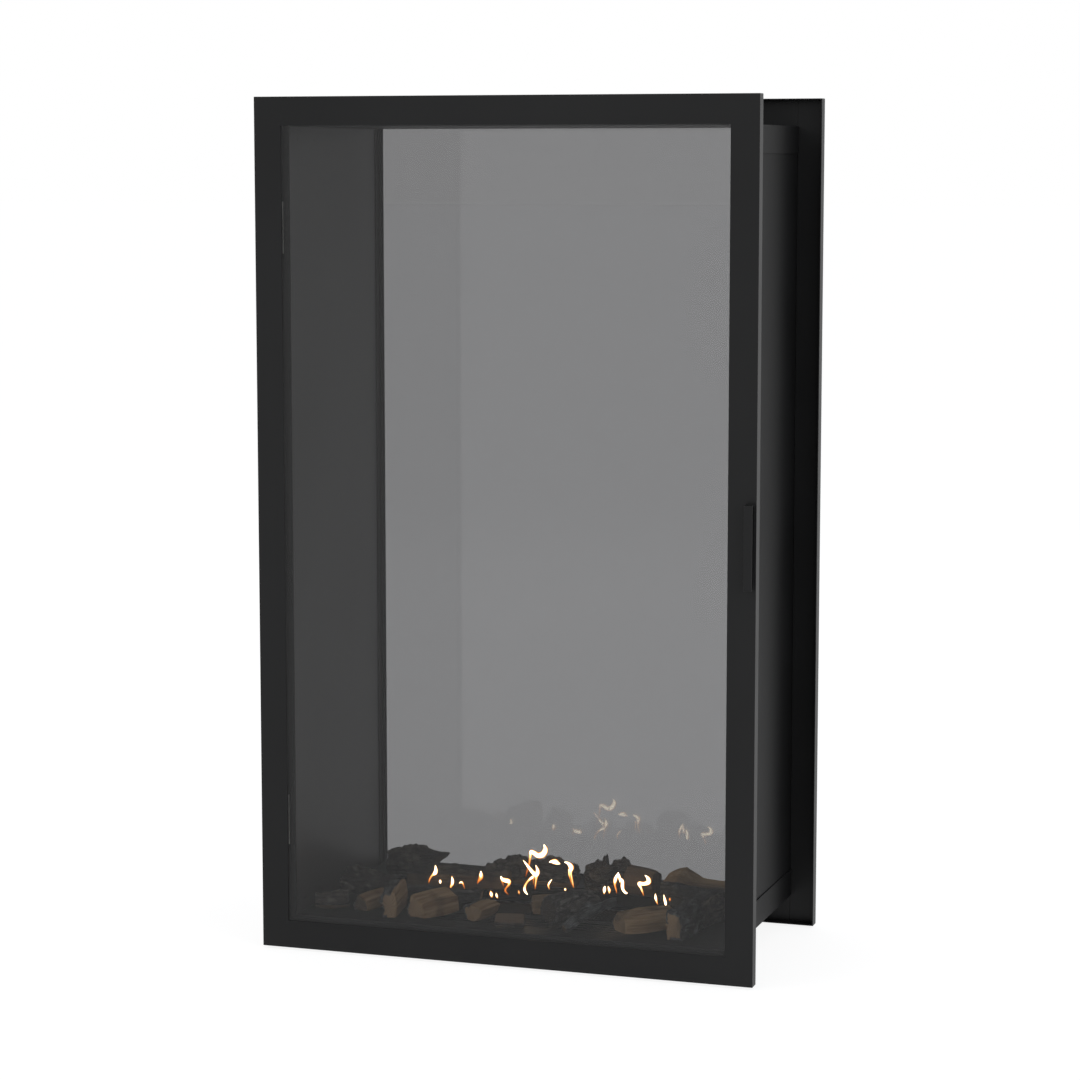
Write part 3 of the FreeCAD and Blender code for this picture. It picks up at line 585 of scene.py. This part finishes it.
def measured_log(node):
    """Axis, side and up of a packed log, its middle, where its ends lie along it, and a tree of its faces."""
    mesh = nodes[node].data
    areas = np.array([p.area for p in mesh.polygons])
    middles = np.array([p.center for p in mesh.polygons])
    normals = np.array([p.normal for p in mesh.polygons])
    middle = (areas[:, None] * middles).sum(axis=0) / areas.sum()
    spread = middles - middle
    _, directions = np.linalg.eigh((areas[:, None] * spread).T @ spread)
    rough = directions[:, -1]
    facing = normals @ rough
    ends = np.abs(facing) > end_facing_share
    outward = areas[ends, None] * normals[ends] * np.sign(facing[ends])[:, None]
    axis = Vector(outward.sum(axis=0)).normalized()
    if axis.dot(axis_hint) < 0:
        axis = -axis
    side = Vector((0, 0, 1)).cross(axis).normalized()
    up = axis.cross(side)
    points = np.array([v.co for v in mesh.vertices])
    along = (points - middle) @ np.array(axis)
    tree = BVHTree.FromPolygons([v.co for v in mesh.vertices], [list(p.vertices) for p in mesh.polygons])
    return axis, side, up, Vector(middle), along.min(), along.max(), tree


def in_sector(angle, sector):
    """How far an angle lies inside a sector, from 0 to 1 with a soft edge, in degrees."""
    start, end = sector
    if end - start >= 360:
        return 1.0
    middle, half = (start + end) / 2, (end - start) / 2
    return 1 - smooth_step(abs(turned(angle, middle)), half - bark_fade / 2, half + bark_fade / 2)


def bark_plate(spot):
    """Height of the bark plate at a spot, from 0 in a furrow to about 1 on a thick plate."""
    bent = spot + plate_bend * noise.noise(spot * plate_bend_scale)
    distances, cells = noise.voronoi(bent)
    furrow = smooth_step(distances[1] - distances[0], *plate_furrow_span)
    thick = plate_thickness + plate_variation * noise.noise(cells[0] * plate_cell_scale)
    return furrow * thick


def log_relief(spot, bark, crag):
    """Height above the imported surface, and how high the bark stands, at a spot in the log's own frame."""
    plate = bark_plate(squeezed(spot, *plate_scales))
    flake = bark_plate(squeezed(spot, *flake_scales))
    height = plate_share * plate + (1 - plate_share) * flake
    lumps = noise.noise(spot * lump_scale) + fine_lump_share * noise.noise(spot * fine_lump_scale)
    raised = noise.noise(squeezed(spot, *raised_grain_scales))
    split = smooth_step(noise.noise(squeezed(spot, *split_scales)), *split_span)
    on_bark = crag * (plate_gain * height - 1 + bark_lump_share * lumps)
    on_wood = raised_grain_height * raised - split_depth * split + wood_lump_height * lumps
    return bark * on_bark + (1 - bark) * on_wood, height


def chunk_height(chunk, along, around, spot):
    """How far a chunk of the log stands out at a distance along and round from its middle."""
    _, _, length, width, height = chunk
    wobble = chunk_wobble_share * noise.noise(spot * chunk_wobble_scale)
    off_along = abs(along) / (length / 2) + wobble
    off_around = abs(around) / (width / 2) + wobble
    sides = (1 - smooth_step(off_along, *chunk_edge_span)) * (1 - smooth_step(off_around, *chunk_edge_span))
    return height * sides * (1 + chunk_grain_share * noise.noise(spot * chunk_grain_scale))


def charring(point):
    """How black the fire has made a point: most beside the flame slot, and in patches."""
    off_y = abs(point.y - slot_middle)
    off_z = max(0.0, point.z - plate_high.z)
    near = 1 - smooth_step(math.hypot(off_y, char_height_share * off_z), *char_distance_span)
    patch = smooth_step(noise.noise(point * soot_scale), *soot_span)
    return min(1.0, near_char_share * near + soot_share * patch)


def splinter_depth(looks, seed, end, turn):
    """How far the splintered end stands back at a turn round the log. A beak makes the far end stand out."""
    across, up = math.cos(turn) * splinter_scale, math.sin(turn) * splinter_scale
    rim = Vector((across, up, seed + splinter_seed_step * end))
    coarse = noise_share(rim)
    fine = noise_share(rim * fine_splinter_scale)
    depth = looks["ragged"] * (coarse_splinter_share * coarse + (1 - coarse_splinter_share) * fine)
    if end < 0:
        return depth
    beak_angle, beak_spread, beak_length = looks["beak"]
    off = abs(turned(math.degrees(turn), beak_angle))
    return depth - beak_length * (1 - smooth_step(off, 0, beak_spread))


def log_mesh(node, seed):
    """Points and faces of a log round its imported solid, and what each point holds for the material.

    Its side is rings of points from end to end. Each end is closed by smaller rings round a hub.
    """
    looks = {**log_defaults, **log_looks[node]}
    axis, side, up, middle, low, high, tree = measured_log(node)
    near_cut, far_cut = looks["cut"]
    low, high = low + near_cut, high - far_cut
    length = high - low
    steps = max(least_log_steps, round(length / log_step))
    shift = Vector([seed * step for step in seed_steps])
    fields = {"bark": [], "relief": [], "cut": [], "char": []}
    places, rings, points, faces = [], [], [], []

    def put(along, radius, turn, cut, bark, relief, char):
        u, v = radius * math.cos(turn), radius * math.sin(turn)
        point = middle + axis * along + side * u + up * v
        points.append(point)
        places.append((along + shift.x, u + shift.y, v + shift.z))
        rings.append((0.0, u, v))
        fields["bark"].append(bark)
        fields["relief"].append(relief)
        fields["cut"].append(cut)
        fields["char"].append(max(char, charring(point)))

    turns = [math.tau * k / log_around for k in range(log_around)]
    back = {end: [splinter_depth(looks, seed, end, turn) for turn in turns] for end in (-1, 1)}
    radii = {}
    for s in range(steps + 1):
        share = s / steps
        safe = low + min(1 - end_margin_share, max(end_margin_share, share)) * length
        origin = middle + axis * safe
        rounding = 1 - end_rounding_share * math.exp(-min(share, 1 - share) * steps * end_rounding_rate)
        near_end = 1 - smooth_step(share, 0, end_reach_share)
        far_end = smooth_step(share, 1 - end_reach_share, 1)
        stripped = smooth_step(share, looks["bare"] - bare_fade_share, looks["bare"] + bare_fade_share)
        top = float(np.interp(share, *looks["tops"]))
        for k, turn in enumerate(turns):
            angle = math.degrees(turn)
            upper = max(0.0, math.sin(turn)) ** 2
            hit = tree.ray_cast(origin, side * math.cos(turn) + up * math.sin(turn))[0]
            reach = (hit - origin).length if hit is not None else radii[(s - 1, k)]
            reach *= 1 + (looks["rise"] - 1) * upper
            reach += top * upper
            bark = in_sector(angle, looks["bark"]) * (1 - stripped)
            spot = Vector((safe, reach * math.cos(turn), reach * math.sin(turn))) + shift
            lift, relief = log_relief(spot, bark, looks["crag"])
            for chunk in looks["chunks"]:
                chunk_share, chunk_angle = chunk[:2]
                off_along = (share - chunk_share) * length
                off_around = math.radians(turned(angle, chunk_angle)) * reach
                lift += chunk_height(chunk, off_along, off_around, spot)
            radii[(s, k)] = reach * rounding + lift
            along = low + share * length + back[-1][k] * near_end - back[1][k] * far_end
            put(along, radii[(s, k)], turn, 0.0, bark, relief, 0.0)
    for s in range(steps):
        for k in range(log_around):
            a, b = s * log_around + k, s * log_around + (k + 1) % log_around
            faces.append([b, a, a + log_around, b + log_around])
    stale = 1 - looks["fresh"]
    for end, tip, row in ((-1, low, 0), (1, high, steps)):
        rim = [row * log_around + k for k in range(log_around)]
        depth = sum(back[end]) / log_around
        for ring in range(1, cap_rings):
            share = 1 - ring / cap_rings
            first = len(points)
            for k, turn in enumerate(turns):
                radius = radii[(row, k)] * share
                spot = Vector((end, radius * math.cos(turn), radius * math.sin(turn))) + shift
                rough = sum(height * noise.noise(spot * scale) for height, scale in end_grain)
                rim_spot = Vector((math.cos(turn), math.sin(turn), seed))
                crack = max(0.0, crack_width - abs(noise.noise(rim_spot * crack_scale)))
                stands_back = share * back[end][k] + (1 - share) * depth + crack_depth_share * crack * share
                bark = smooth_step(share, *bark_rim_span) * in_sector(math.degrees(turn), looks["bark"])
                put(tip + end * (rough - stands_back), radius, turn, 1.0, bark, end_relief_share, stale)
            for k in range(log_around):
                a, b = rim[k], rim[(k + 1) % log_around]
                c, d = first + k, first + (k + 1) % log_around
                faces.append([a, b, d, c] if end < 0 else [b, a, c, d])
            rim = [first + k for k in range(log_around)]
        hub = len(points)
        put(tip - end * depth, 0, 0, 1.0, 0.0, end_relief_share, stale)
        for k in range(log_around):
            a, b = rim[k], rim[(k + 1) % log_around]
            faces.append([a, b, hub] if end < 0 else [b, a, hub])
    fields["pale"] = [looks["pale"]] * len(points)
    return points, faces, places, rings, fields


# The logs' material: noise scales, stops of its ramps of colour, flat colours, and fades, each a span and the
# levels at its ends
wood_grain_scales = (14, 420, 420)
wood_band_scales = (8, 95, 95)
heartwood_share = 0.5
end_ring_looks = {"Scale": 110, "Distortion": 3.5, "Detail": 3, "Detail Scale": 1.2}
end_stain_scale = 60
blotch_scale = 75
speck_scale = 420
bark_edge_wander = 0.5
log_shine = 0.25
log_bump_depth = 0.0009
log_bump_strength = 0.9
log_stops = {
    "streaks": [(0.32, (0.060, 0.033, 0.014)), (0.46, (0.20, 0.125, 0.062)), (0.64, (0.35, 0.24, 0.135))],
    "heartwood": [(0.38, (0.13, 0.070, 0.032)), (0.58, (0.34, 0.235, 0.130))],
    "brown_bark": [(0.32, (0.030, 0.023, 0.017)), (0.50, (0.070, 0.054, 0.040)),
                   (0.70, (0.120, 0.098, 0.075))],
    "ash_bark": [(0.34, (0.028, 0.028, 0.027)), (0.48, (0.066, 0.068, 0.068)), (0.60, (0.105, 0.112, 0.114)),
                 (0.75, (0.165, 0.176, 0.178))],
}
log_colours = {
    "end_wood": (0.20, 0.130, 0.070, 1),
    "end_ring": (0.27, 0.185, 0.105, 1),
    "end_stain": (0.13, 0.09, 0.06, 1),
    "aged_wood": (0.075, 0.052, 0.037, 1),
    "dust": (0.20, 0.205, 0.205, 1),
    # Near black for the bark's furrows: painted shade in those hollows, on top of the bark's own darker
    # colour there
    "furrow": (0.010, 0.009, 0.008, 1),
    "soot": (0.014, 0.013, 0.012, 1),
}
log_fades = {
    "end_stain": ((0.45, 0.75), (0.0, 0.6)),
    "dust": ((0.5, 0.75), (0.0, 0.4)),
    # How far the furrow colour darkens the bark as its relief falls: painted shade in the hollows, partly the
    # bark's own colour
    "furrow": ((0.20, 0.62), (0.8, 0.0)),
    "bark_edge": ((0.42, 0.58), (0.0, 1.0)),
    "soot": ((0.25, 0.75), (1.0, 0.75)),
    "roughness": ((0.3, 0.7), (0.78, 0.94)),
}


def log_material():
    """Bark, split wood and cut ends in one material, told apart by what each point of the mesh holds."""
    material, tree = new_material("split_log")
    place = held(tree, "place", "Vector")
    bark_share = held(tree, "bark")
    pale = held(tree, "pale")

    grain = noisy(tree, place, wood_grain_scales, detail=4, roughness=0.6)
    bands = noisy(tree, place, wood_band_scales)
    streaks = ramp(tree, grain, log_stops["streaks"])
    wood = mixed(tree, heartwood_share, streaks, ramp(tree, bands, log_stops["heartwood"]))
    across = held(tree, "rings", "Vector")
    rings = add(tree, "TexWave", {"Vector": across, **end_ring_looks}, wave_type="RINGS", rings_direction="X")
    end_wood = mixed(tree, rings.outputs[0], log_colours["end_wood"], log_colours["end_ring"])
    stain = fade(tree, noisy(tree, place, end_stain_scale, detail=2), *log_fades["end_stain"])
    end_wood = mixed(tree, stain, end_wood, log_colours["end_stain"])
    wood = mixed(tree, held(tree, "cut"), wood, end_wood)
    wood = mixed(tree, maths(tree, "SUBTRACT", 1, pale, clamp=True), wood, log_colours["aged_wood"])

    blotch = noisy(tree, place, blotch_scale, detail=5, roughness=0.65)
    speck = noisy(tree, place, speck_scale, detail=4, roughness=0.7)
    brown_bark = ramp(tree, blotch, log_stops["brown_bark"])
    plate = mixed(tree, pale, brown_bark, ramp(tree, blotch, log_stops["ash_bark"]))
    plate = mixed(tree, fade(tree, speck, *log_fades["dust"]), plate, log_colours["dust"])
    # The lower the bark's relief, the nearer black it gets: painted shade in the furrows, partly the bark's
    # own darker colour
    furrow = fade(tree, held(tree, "relief"), *log_fades["furrow"])
    bark = mixed(tree, furrow, plate, log_colours["furrow"])

    uneven = maths(tree, "MULTIPLY_ADD", blotch, bark_edge_wander, -bark_edge_wander / 2)
    edge = fade(tree, maths(tree, "ADD", bark_share, uneven), *log_fades["bark_edge"])
    soot = maths(tree, "MULTIPLY", held(tree, "char"), fade(tree, speck, *log_fades["soot"]))
    fibres = maths(tree, "MULTIPLY", grain, maths(tree, "SUBTRACT", 1, bark_share, clamp=True))
    crust = maths(tree, "MULTIPLY", speck, bark_share)
    height = maths(tree, "ADD", fibres, crust)
    show(tree, add(tree, "BsdfPrincipled", {
        "Base Color": mixed(tree, soot, mixed(tree, edge, wood, bark), log_colours["soot"]),
        "Roughness": fade(tree, speck, *log_fades["roughness"]),
        "Specular IOR Level": log_shine,
        "Normal": bumped(tree, height, log_bump_depth, Strength=log_bump_strength),
    }))
    return material


def make_logs():
    material = log_material()
    for seed, node in enumerate(log_looks):
        points, faces, places, rings, fields = log_mesh(node, seed)
        piece = new_piece(node.replace("log_", "firewood_"), points, faces, material)
        mesh = piece.data
        for name, spots in (("place", places), ("rings", rings)):
            field = mesh.attributes.new(name, "FLOAT_VECTOR", "POINT")
            field.data.foreach_set("vector", [c for p in spots for c in p])
        for name, values in fields.items():
            mesh.attributes.new(name, "FLOAT", "POINT").data.foreach_set("value", values)
        mesh.set_sharp_from_angle(angle=crisp_angle)
        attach(piece, "casing")
        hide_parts(node)


# Flames

# Each flame is a few strokes. A stroke is drawn through listed points: place across, height above the
# floor and width, in millimetres, and how hot it is, from 0, red, to 1, white. After its points comes
# how far in front of the slot's middle it burns, in millimetres.
strokes = {
    "flame_a": [
        ([(-141.5, 76, 0.6, 0.7), (-140.5, 71, 3.2, 1.0), (-141.5, 66.5, 4.2, 1.0), (-145.5, 63, 2.2, 0.6),
          (-149, 57.5, 1.6, 0.45), (-150, 53, 0.6, 0.25)], 0),
        ([(-135, 58.5, 0.6, 0.6), (-135, 56, 2.8, 1.0), (-135, 53.5, 0.6, 0.6)], 2),
    ],
    "flame_b": [
        ([(-120, 64, 0.6, 0.6), (-119, 59, 2.8, 1.0), (-119.5, 54, 3.2, 0.8), (-121.5, 50, 1.6, 0.5),
          (-117, 46, 0.6, 0.5)], 2),
        ([(-110.5, 55.5, 0.6, 0.7), (-107.5, 57.5, 2.0, 0.8), (-105, 54.5, 1.4, 0.4),
          (-103.5, 49, 0.5, 0.2)], -1),
    ],
    "flame_c": [
        ([(-82.5, 73, 0.6, 0.8), (-82, 69, 3.6, 0.9), (-82.5, 65, 4.6, 0.55), (-85, 61, 2.8, 0.35),
          (-87, 57, 0.6, 0.2)], 0),
    ],
    "flame_d": [
        ([(-56.5, 68.5, 0.8, 0.9), (-55, 65.5, 3.2, 1.0), (-51, 64, 4.6, 1.0), (-46.5, 63, 4.6, 1.0),
          (-46.5, 59, 2.8, 0.5), (-49.5, 55, 1.9, 0.35), (-51, 51, 2.1, 0.3), (-47, 46.5, 0.6, 0.2)], 1),
        ([(-55.5, 64, 2.4, 0.5), (-54, 59.5, 1.4, 0.25), (-53, 56, 0.5, 0.15)], -1),
        ([(-70, 49.5, 0.6, 0.5), (-69, 45.5, 3.6, 0.95), (-68, 41, 0.6, 0.4)], 0),
        ([(-62.5, 47.5, 0.5, 0.6), (-62, 44, 2.4, 0.85), (-60.5, 40.5, 0.5, 0.3)], -1),
    ],
    "flame_e": [
        ([(-1.5, 111.5, 0.8, 1.0), (0.5, 106, 4.8, 1.0), (-3, 99.5, 6.0, 1.0), (-9, 98, 5.6, 1.0),
          (-14, 100.5, 4.6, 1.0), (-18, 101.5, 3.6, 1.0), (-19, 95, 2.7, 0.6), (-20, 88, 1.9, 0.4),
          (-20.5, 82, 0.6, 0.2)], 0),
        ([(-28, 90.5, 0.6, 0.8), (-23.5, 85.5, 2.2, 1.0), (-17.5, 78.5, 3.6, 1.0), (-13, 74, 4.0, 1.0),
          (-11, 71, 0.8, 0.8)], 1),
        ([(-12, 85.5, 0.6, 0.8), (-9.5, 79, 3.8, 1.0), (-11.5, 73.5, 4.6, 1.0), (-18, 69, 2.8, 0.8),
          (-22.5, 64.5, 2.1, 0.5), (-25.5, 59, 2.4, 0.6), (-26, 53.5, 2.8, 0.9),
          (-22.5, 48.5, 0.8, 0.9)], -1),
        ([(-20, 88, 1.9, 0.4), (-22.5, 79, 2.0, 0.25), (-25, 70, 0.6, 0.12)], 0),
        ([(-10, 76, 3.2, 0.9), (-11.5, 68, 2.2, 0.6), (-12.5, 60, 1.4, 0.4), (-13, 55.5, 0.5, 0.2)], -2),
        ([(-14, 72, 2.2, 0.5), (-15, 66, 1.3, 0.3), (-15, 61, 0.5, 0.15)], 2),
        ([(-34, 53, 0.5, 0.4), (-33.5, 50.5, 2.0, 0.5), (-33, 48, 0.5, 0.3)], 0),
    ],
    "flame_f": [
        ([(5, 90.5, 0.6, 0.9), (9, 91.7, 3.8, 1.0), (13, 91.7, 5.4, 1.0), (16, 90.5, 3.8, 1.0),
          (19, 89.5, 0.6, 0.9)], 0),
        ([(8.5, 69.5, 0.5, 0.8), (5.5, 65.5, 1.9, 0.8), (4, 61.5, 1.9, 0.6), (5.5, 57, 0.5, 0.5)], 1),
    ],
    "flame_g": [
        ([(24.5, 92, 0.6, 1.0), (29, 91, 3.0, 1.0), (33, 86.5, 5.4, 1.0), (32.5, 80, 2.4, 0.8),
          (33.5, 74, 1.7, 0.6), (35, 67, 1.5, 0.5), (36, 61, 0.5, 0.3)], 0),
        ([(30.5, 84, 2.4, 0.9), (30.5, 77, 1.7, 0.6), (32.5, 70, 1.3, 0.35), (33.5, 64, 0.5, 0.15)], -2),
        ([(25.5, 60.5, 0.5, 0.5), (25.5, 58.5, 2.4, 0.8), (25.5, 56.5, 0.5, 0.4)], 1),
    ],
    "flame_h": [
        ([(92.5, 84.5, 0.6, 1.0), (90.5, 80, 2.8, 1.0), (88.5, 75, 3.8, 0.9), (88, 69, 2.3, 0.5),
          (89.5, 63, 1.5, 0.35), (90.5, 58.5, 0.5, 0.2)], 0),
        ([(92.5, 82.5, 1.8, 1.0), (94.5, 76.5, 3.0, 0.9), (94.5, 72, 1.0, 0.5)], -1),
        ([(96, 77, 1.6, 0.9), (97.5, 74, 3.2, 1.0), (97.5, 68, 3.6, 1.0), (98.5, 63.5, 2.8, 1.0),
          (102, 60, 2.2, 1.0), (103.5, 60.5, 0.5, 0.9)], 1),
        ([(75.5, 66.5, 0.6, 0.8), (75, 62, 3.4, 1.0), (74.5, 56.5, 0.6, 0.5)], 1),
        ([(79.5, 66.5, 0.5, 0.8), (81, 62, 3.0, 0.8), (81, 57.5, 0.6, 0.4)], -1),
    ],
    "flame_i": [
        ([(125.5, 83.5, 0.6, 0.8), (129.5, 80, 3.8, 1.0), (130, 75.5, 4.8, 1.0), (124, 73, 3.8, 1.0),
          (118.5, 73, 3.8, 1.0), (120.5, 68, 2.4, 0.8), (122.5, 63, 1.7, 0.5), (124, 58, 0.5, 0.25)], 0),
    ],
    "flame_j": [
        ([(138.5, 62, 0.5, 0.8), (139, 57, 2.6, 1.0), (140, 53, 1.8, 0.6), (141.5, 49, 0.5, 0.3)], 0),
        ([(149, 61.5, 0.5, 0.8), (150.5, 55, 2.6, 1.0), (151.5, 50, 2.2, 0.9), (152, 46, 0.5, 0.5)], 0),
        ([(156.5, 58.5, 0.5, 0.3), (156.5, 56.5, 2.0, 0.45), (156.5, 54, 0.5, 0.2)], 1),
    ],
}
millimetre = 0.001
stroke_step = 0.9
least_stroke_steps = 8
least_stroke_width = 0.3
slope_reach = 0.05
flame_around = 20
flame_fullness = 1.3
flame_thickness_share = 0.45
rim_softness = 1.4
black = (0, 0, 0, 1)
flame_strength = 9.0
flicker_scale = 180
flicker_span = (0.3, 0.6)
flicker_levels = (0.80, 1.0)
flame_stops = [
    (0.0, (0.020, 0.002, 0.0)), (0.15, (0.085, 0.016, 0.001)), (0.35, (0.16, 0.050, 0.006)),
    (0.60, (0.46, 0.25, 0.085)), (0.85, (1.0, 0.88, 0.62)),
]
flame_cover_stops = [(0.0, 0.0), (0.10, 0.40), (0.30, 0.90), (0.40, 1.0)]


def between(points, place):
    """A smooth curve through points, read at a place counted in points."""
    last = len(points) - 1
    i = min(int(place), last - 1)
    t = place - i
    a, b, c, d = (points[min(max(k, 0), last)] for k in (i - 1, i, i + 1, i + 2))
    return [
        0.5 * (2 * q + (r - p) * t + (2 * p - 5 * q + 4 * r - s) * t ** 2 + (3 * q - p - 3 * r + s) * t ** 3)
        for p, q, r, s in zip(a, b, c, d)
    ]


def stroke_mesh(drawn, depth, points, faces, glow):
    """One stroke of flame: a tube of flat oval section along a smooth line.

    It is drawn in the plane of the slot and then moved towards the camera, which keeps its place in the
    picture.
    """
    length = sum(math.dist(a[:2], b[:2]) for a, b in zip(drawn, drawn[1:]))
    steps = max(least_stroke_steps, round(length / stroke_step))
    nearer_share = depth * millimetre / (slot_middle - camera_place[1])
    first = len(points)
    for s in range(steps + 1):
        place = (len(drawn) - 1) * s / steps
        x, z, width, heat = between(drawn, place)
        ahead = between(drawn, min(place + slope_reach, len(drawn) - 1))
        behind = between(drawn, max(place - slope_reach, 0))
        way = Vector((ahead[0] - behind[0], 0, ahead[1] - behind[1])).normalized()
        across = Vector((way.z, 0, -way.x))
        middle = Vector((x * millimetre, slot_middle, z * millimetre))
        middle += (Vector(camera_place) - middle) * nearer_share
        half = flame_fullness * max(least_stroke_width, width) * millimetre / 2
        for k in range(flame_around):
            turn = math.tau * k / flame_around
            offset = across * (half * math.cos(turn))
            offset.y = flame_thickness_share * half * math.sin(turn)
            points.append(middle + offset)
            glow.append(max(0.0, heat) * abs(math.sin(turn)) ** rim_softness)
    for s in range(steps):
        for k in range(flame_around):
            a = first + s * flame_around + k
            b = first + s * flame_around + (k + 1) % flame_around
            faces.append([a, b, b + flame_around, a + flame_around])
    faces.append([first + k for k in reversed(range(flame_around))])
    last = first + steps * flame_around
    faces.append([last + k for k in range(flame_around)])


def flame_material():
    material, tree = new_material("flame")
    flicker = noisy(tree, row_place(tree), flicker_scale, detail=2)
    level = maths(tree, "MULTIPLY", held(tree, "glow"), fade(tree, flicker, flicker_span, flicker_levels))
    show(tree, add(tree, "BsdfPrincipled", {
        "Base Color": black,
        "Roughness": 1.0,
        "Specular IOR Level": 0.0,
        "Emission Color": ramp(tree, level, flame_stops),
        "Emission Strength": flame_strength,
        "Alpha": ramp(tree, level, flame_cover_stops),
    }))
    return material


def make_flames():
    material = flame_material()
    for name, drawn_strokes in strokes.items():
        points, faces, glow = [], [], []
        for drawn, depth in drawn_strokes:
            stroke_mesh(drawn, depth, points, faces, glow)
        piece = new_piece(name, points, faces, material)
        piece.data.attributes.new("glow", "FLOAT", "POINT").data.foreach_set("value", glow)
        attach(piece, "casing")


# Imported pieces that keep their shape
default_bevel = 0.0003
bevels = {
    "door_frame": 0.0006,
    "door_handle": 0.0006,
    "rear_frame_left": 0.0005,
    "rear_frame_right": 0.0005,
    "rear_frame_top": 0.0004,
    "rear_frame_bottom": 0.0004,
    "door_glass": 0.0004,
    "rear_glass": 0.0004,
}
bevel_segments = 2
bevel_angle = math.radians(30)
weld_distance = 0.000002
flat_angle = math.radians(1.0)
small_nodes = {
    "levelling_feet", "foot_nuts", "burner_screws", "casing_rivets", "flange_screws", "hinge_pins",
    "glass_standoffs", "retainer_screws", "handle_screws",
}


def soften_edges(name, piece):
    """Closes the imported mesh, joins its flat triangles and rounds its edges."""
    weld = piece.modifiers.new("weld", "WELD")
    weld.merge_threshold = weld_distance
    flat = piece.modifiers.new("flat", "DECIMATE")
    flat.decimate_type = "DISSOLVE"
    flat.angle_limit = flat_angle
    bevel = piece.modifiers.new("bevel", "BEVEL")
    bevel.width = bevels.get(name, default_bevel)
    bevel.segments = bevel_segments
    bevel.limit_method = "ANGLE"
    bevel.angle_limit = bevel_angle
    bevel.use_clamp_overlap = False
    bevel.harden_normals = True


def coat_inside(piece, coat):
    """Gives the faces of a side panel that look into the fire chamber a lighter copy of the black coat,
    painted light for the lit chamber.
    """
    piece.data.materials.append(coat)
    for face in piece.data.polygons:
        if face.normal.x * face.center.x < 0 and abs(face.normal.x) > inside_facing_share:
            face.material_index = len(piece.data.materials) - 1


def dress_packed_pieces():
    """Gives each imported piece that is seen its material, and rounds the edges of all but the small ones."""
    coats = {
        "black_coated_steel": powder_coat("outer_coat", outer_coat_looks),
        "light_smoked_glass": smoked_glass("light_smoked_glass", *door_glass_looks),
        "dark_smoked_glass": smoked_glass("dark_smoked_glass", *rear_glass_looks),
        "black_rubber": black_rubber(),
        "zinc_plated_steel": zinc_plate(),
        "burner_steel": burner_steel(),
    }
    casing_coat = powder_coat("casing_coat", casing_coat_looks)
    # The lighter copy of the coat that paints in the light on the chamber's inner walls
    chamber_coat_painted_light = powder_coat("chamber_coat_painted_light", chamber_coat_painted_light_looks)
    for name, piece in nodes.items():
        if piece.hide_render:
            continue
        coat = casing_coat if name in casing_nodes else coats[node_slots[name]]
        for i in range(len(piece.data.materials)):
            piece.data.materials[i] = coat
        if name.startswith("side_panel"):
            coat_inside(piece, chamber_coat_painted_light)
        if name not in small_nodes:
            soften_edges(name, piece)


bpy.context.scene.view_settings.view_transform = "Standard"
make_camera()
make_lamps()
make_world()
make_floor()
wool_mat()
make_logs()
make_flames()
dress_packed_pieces()
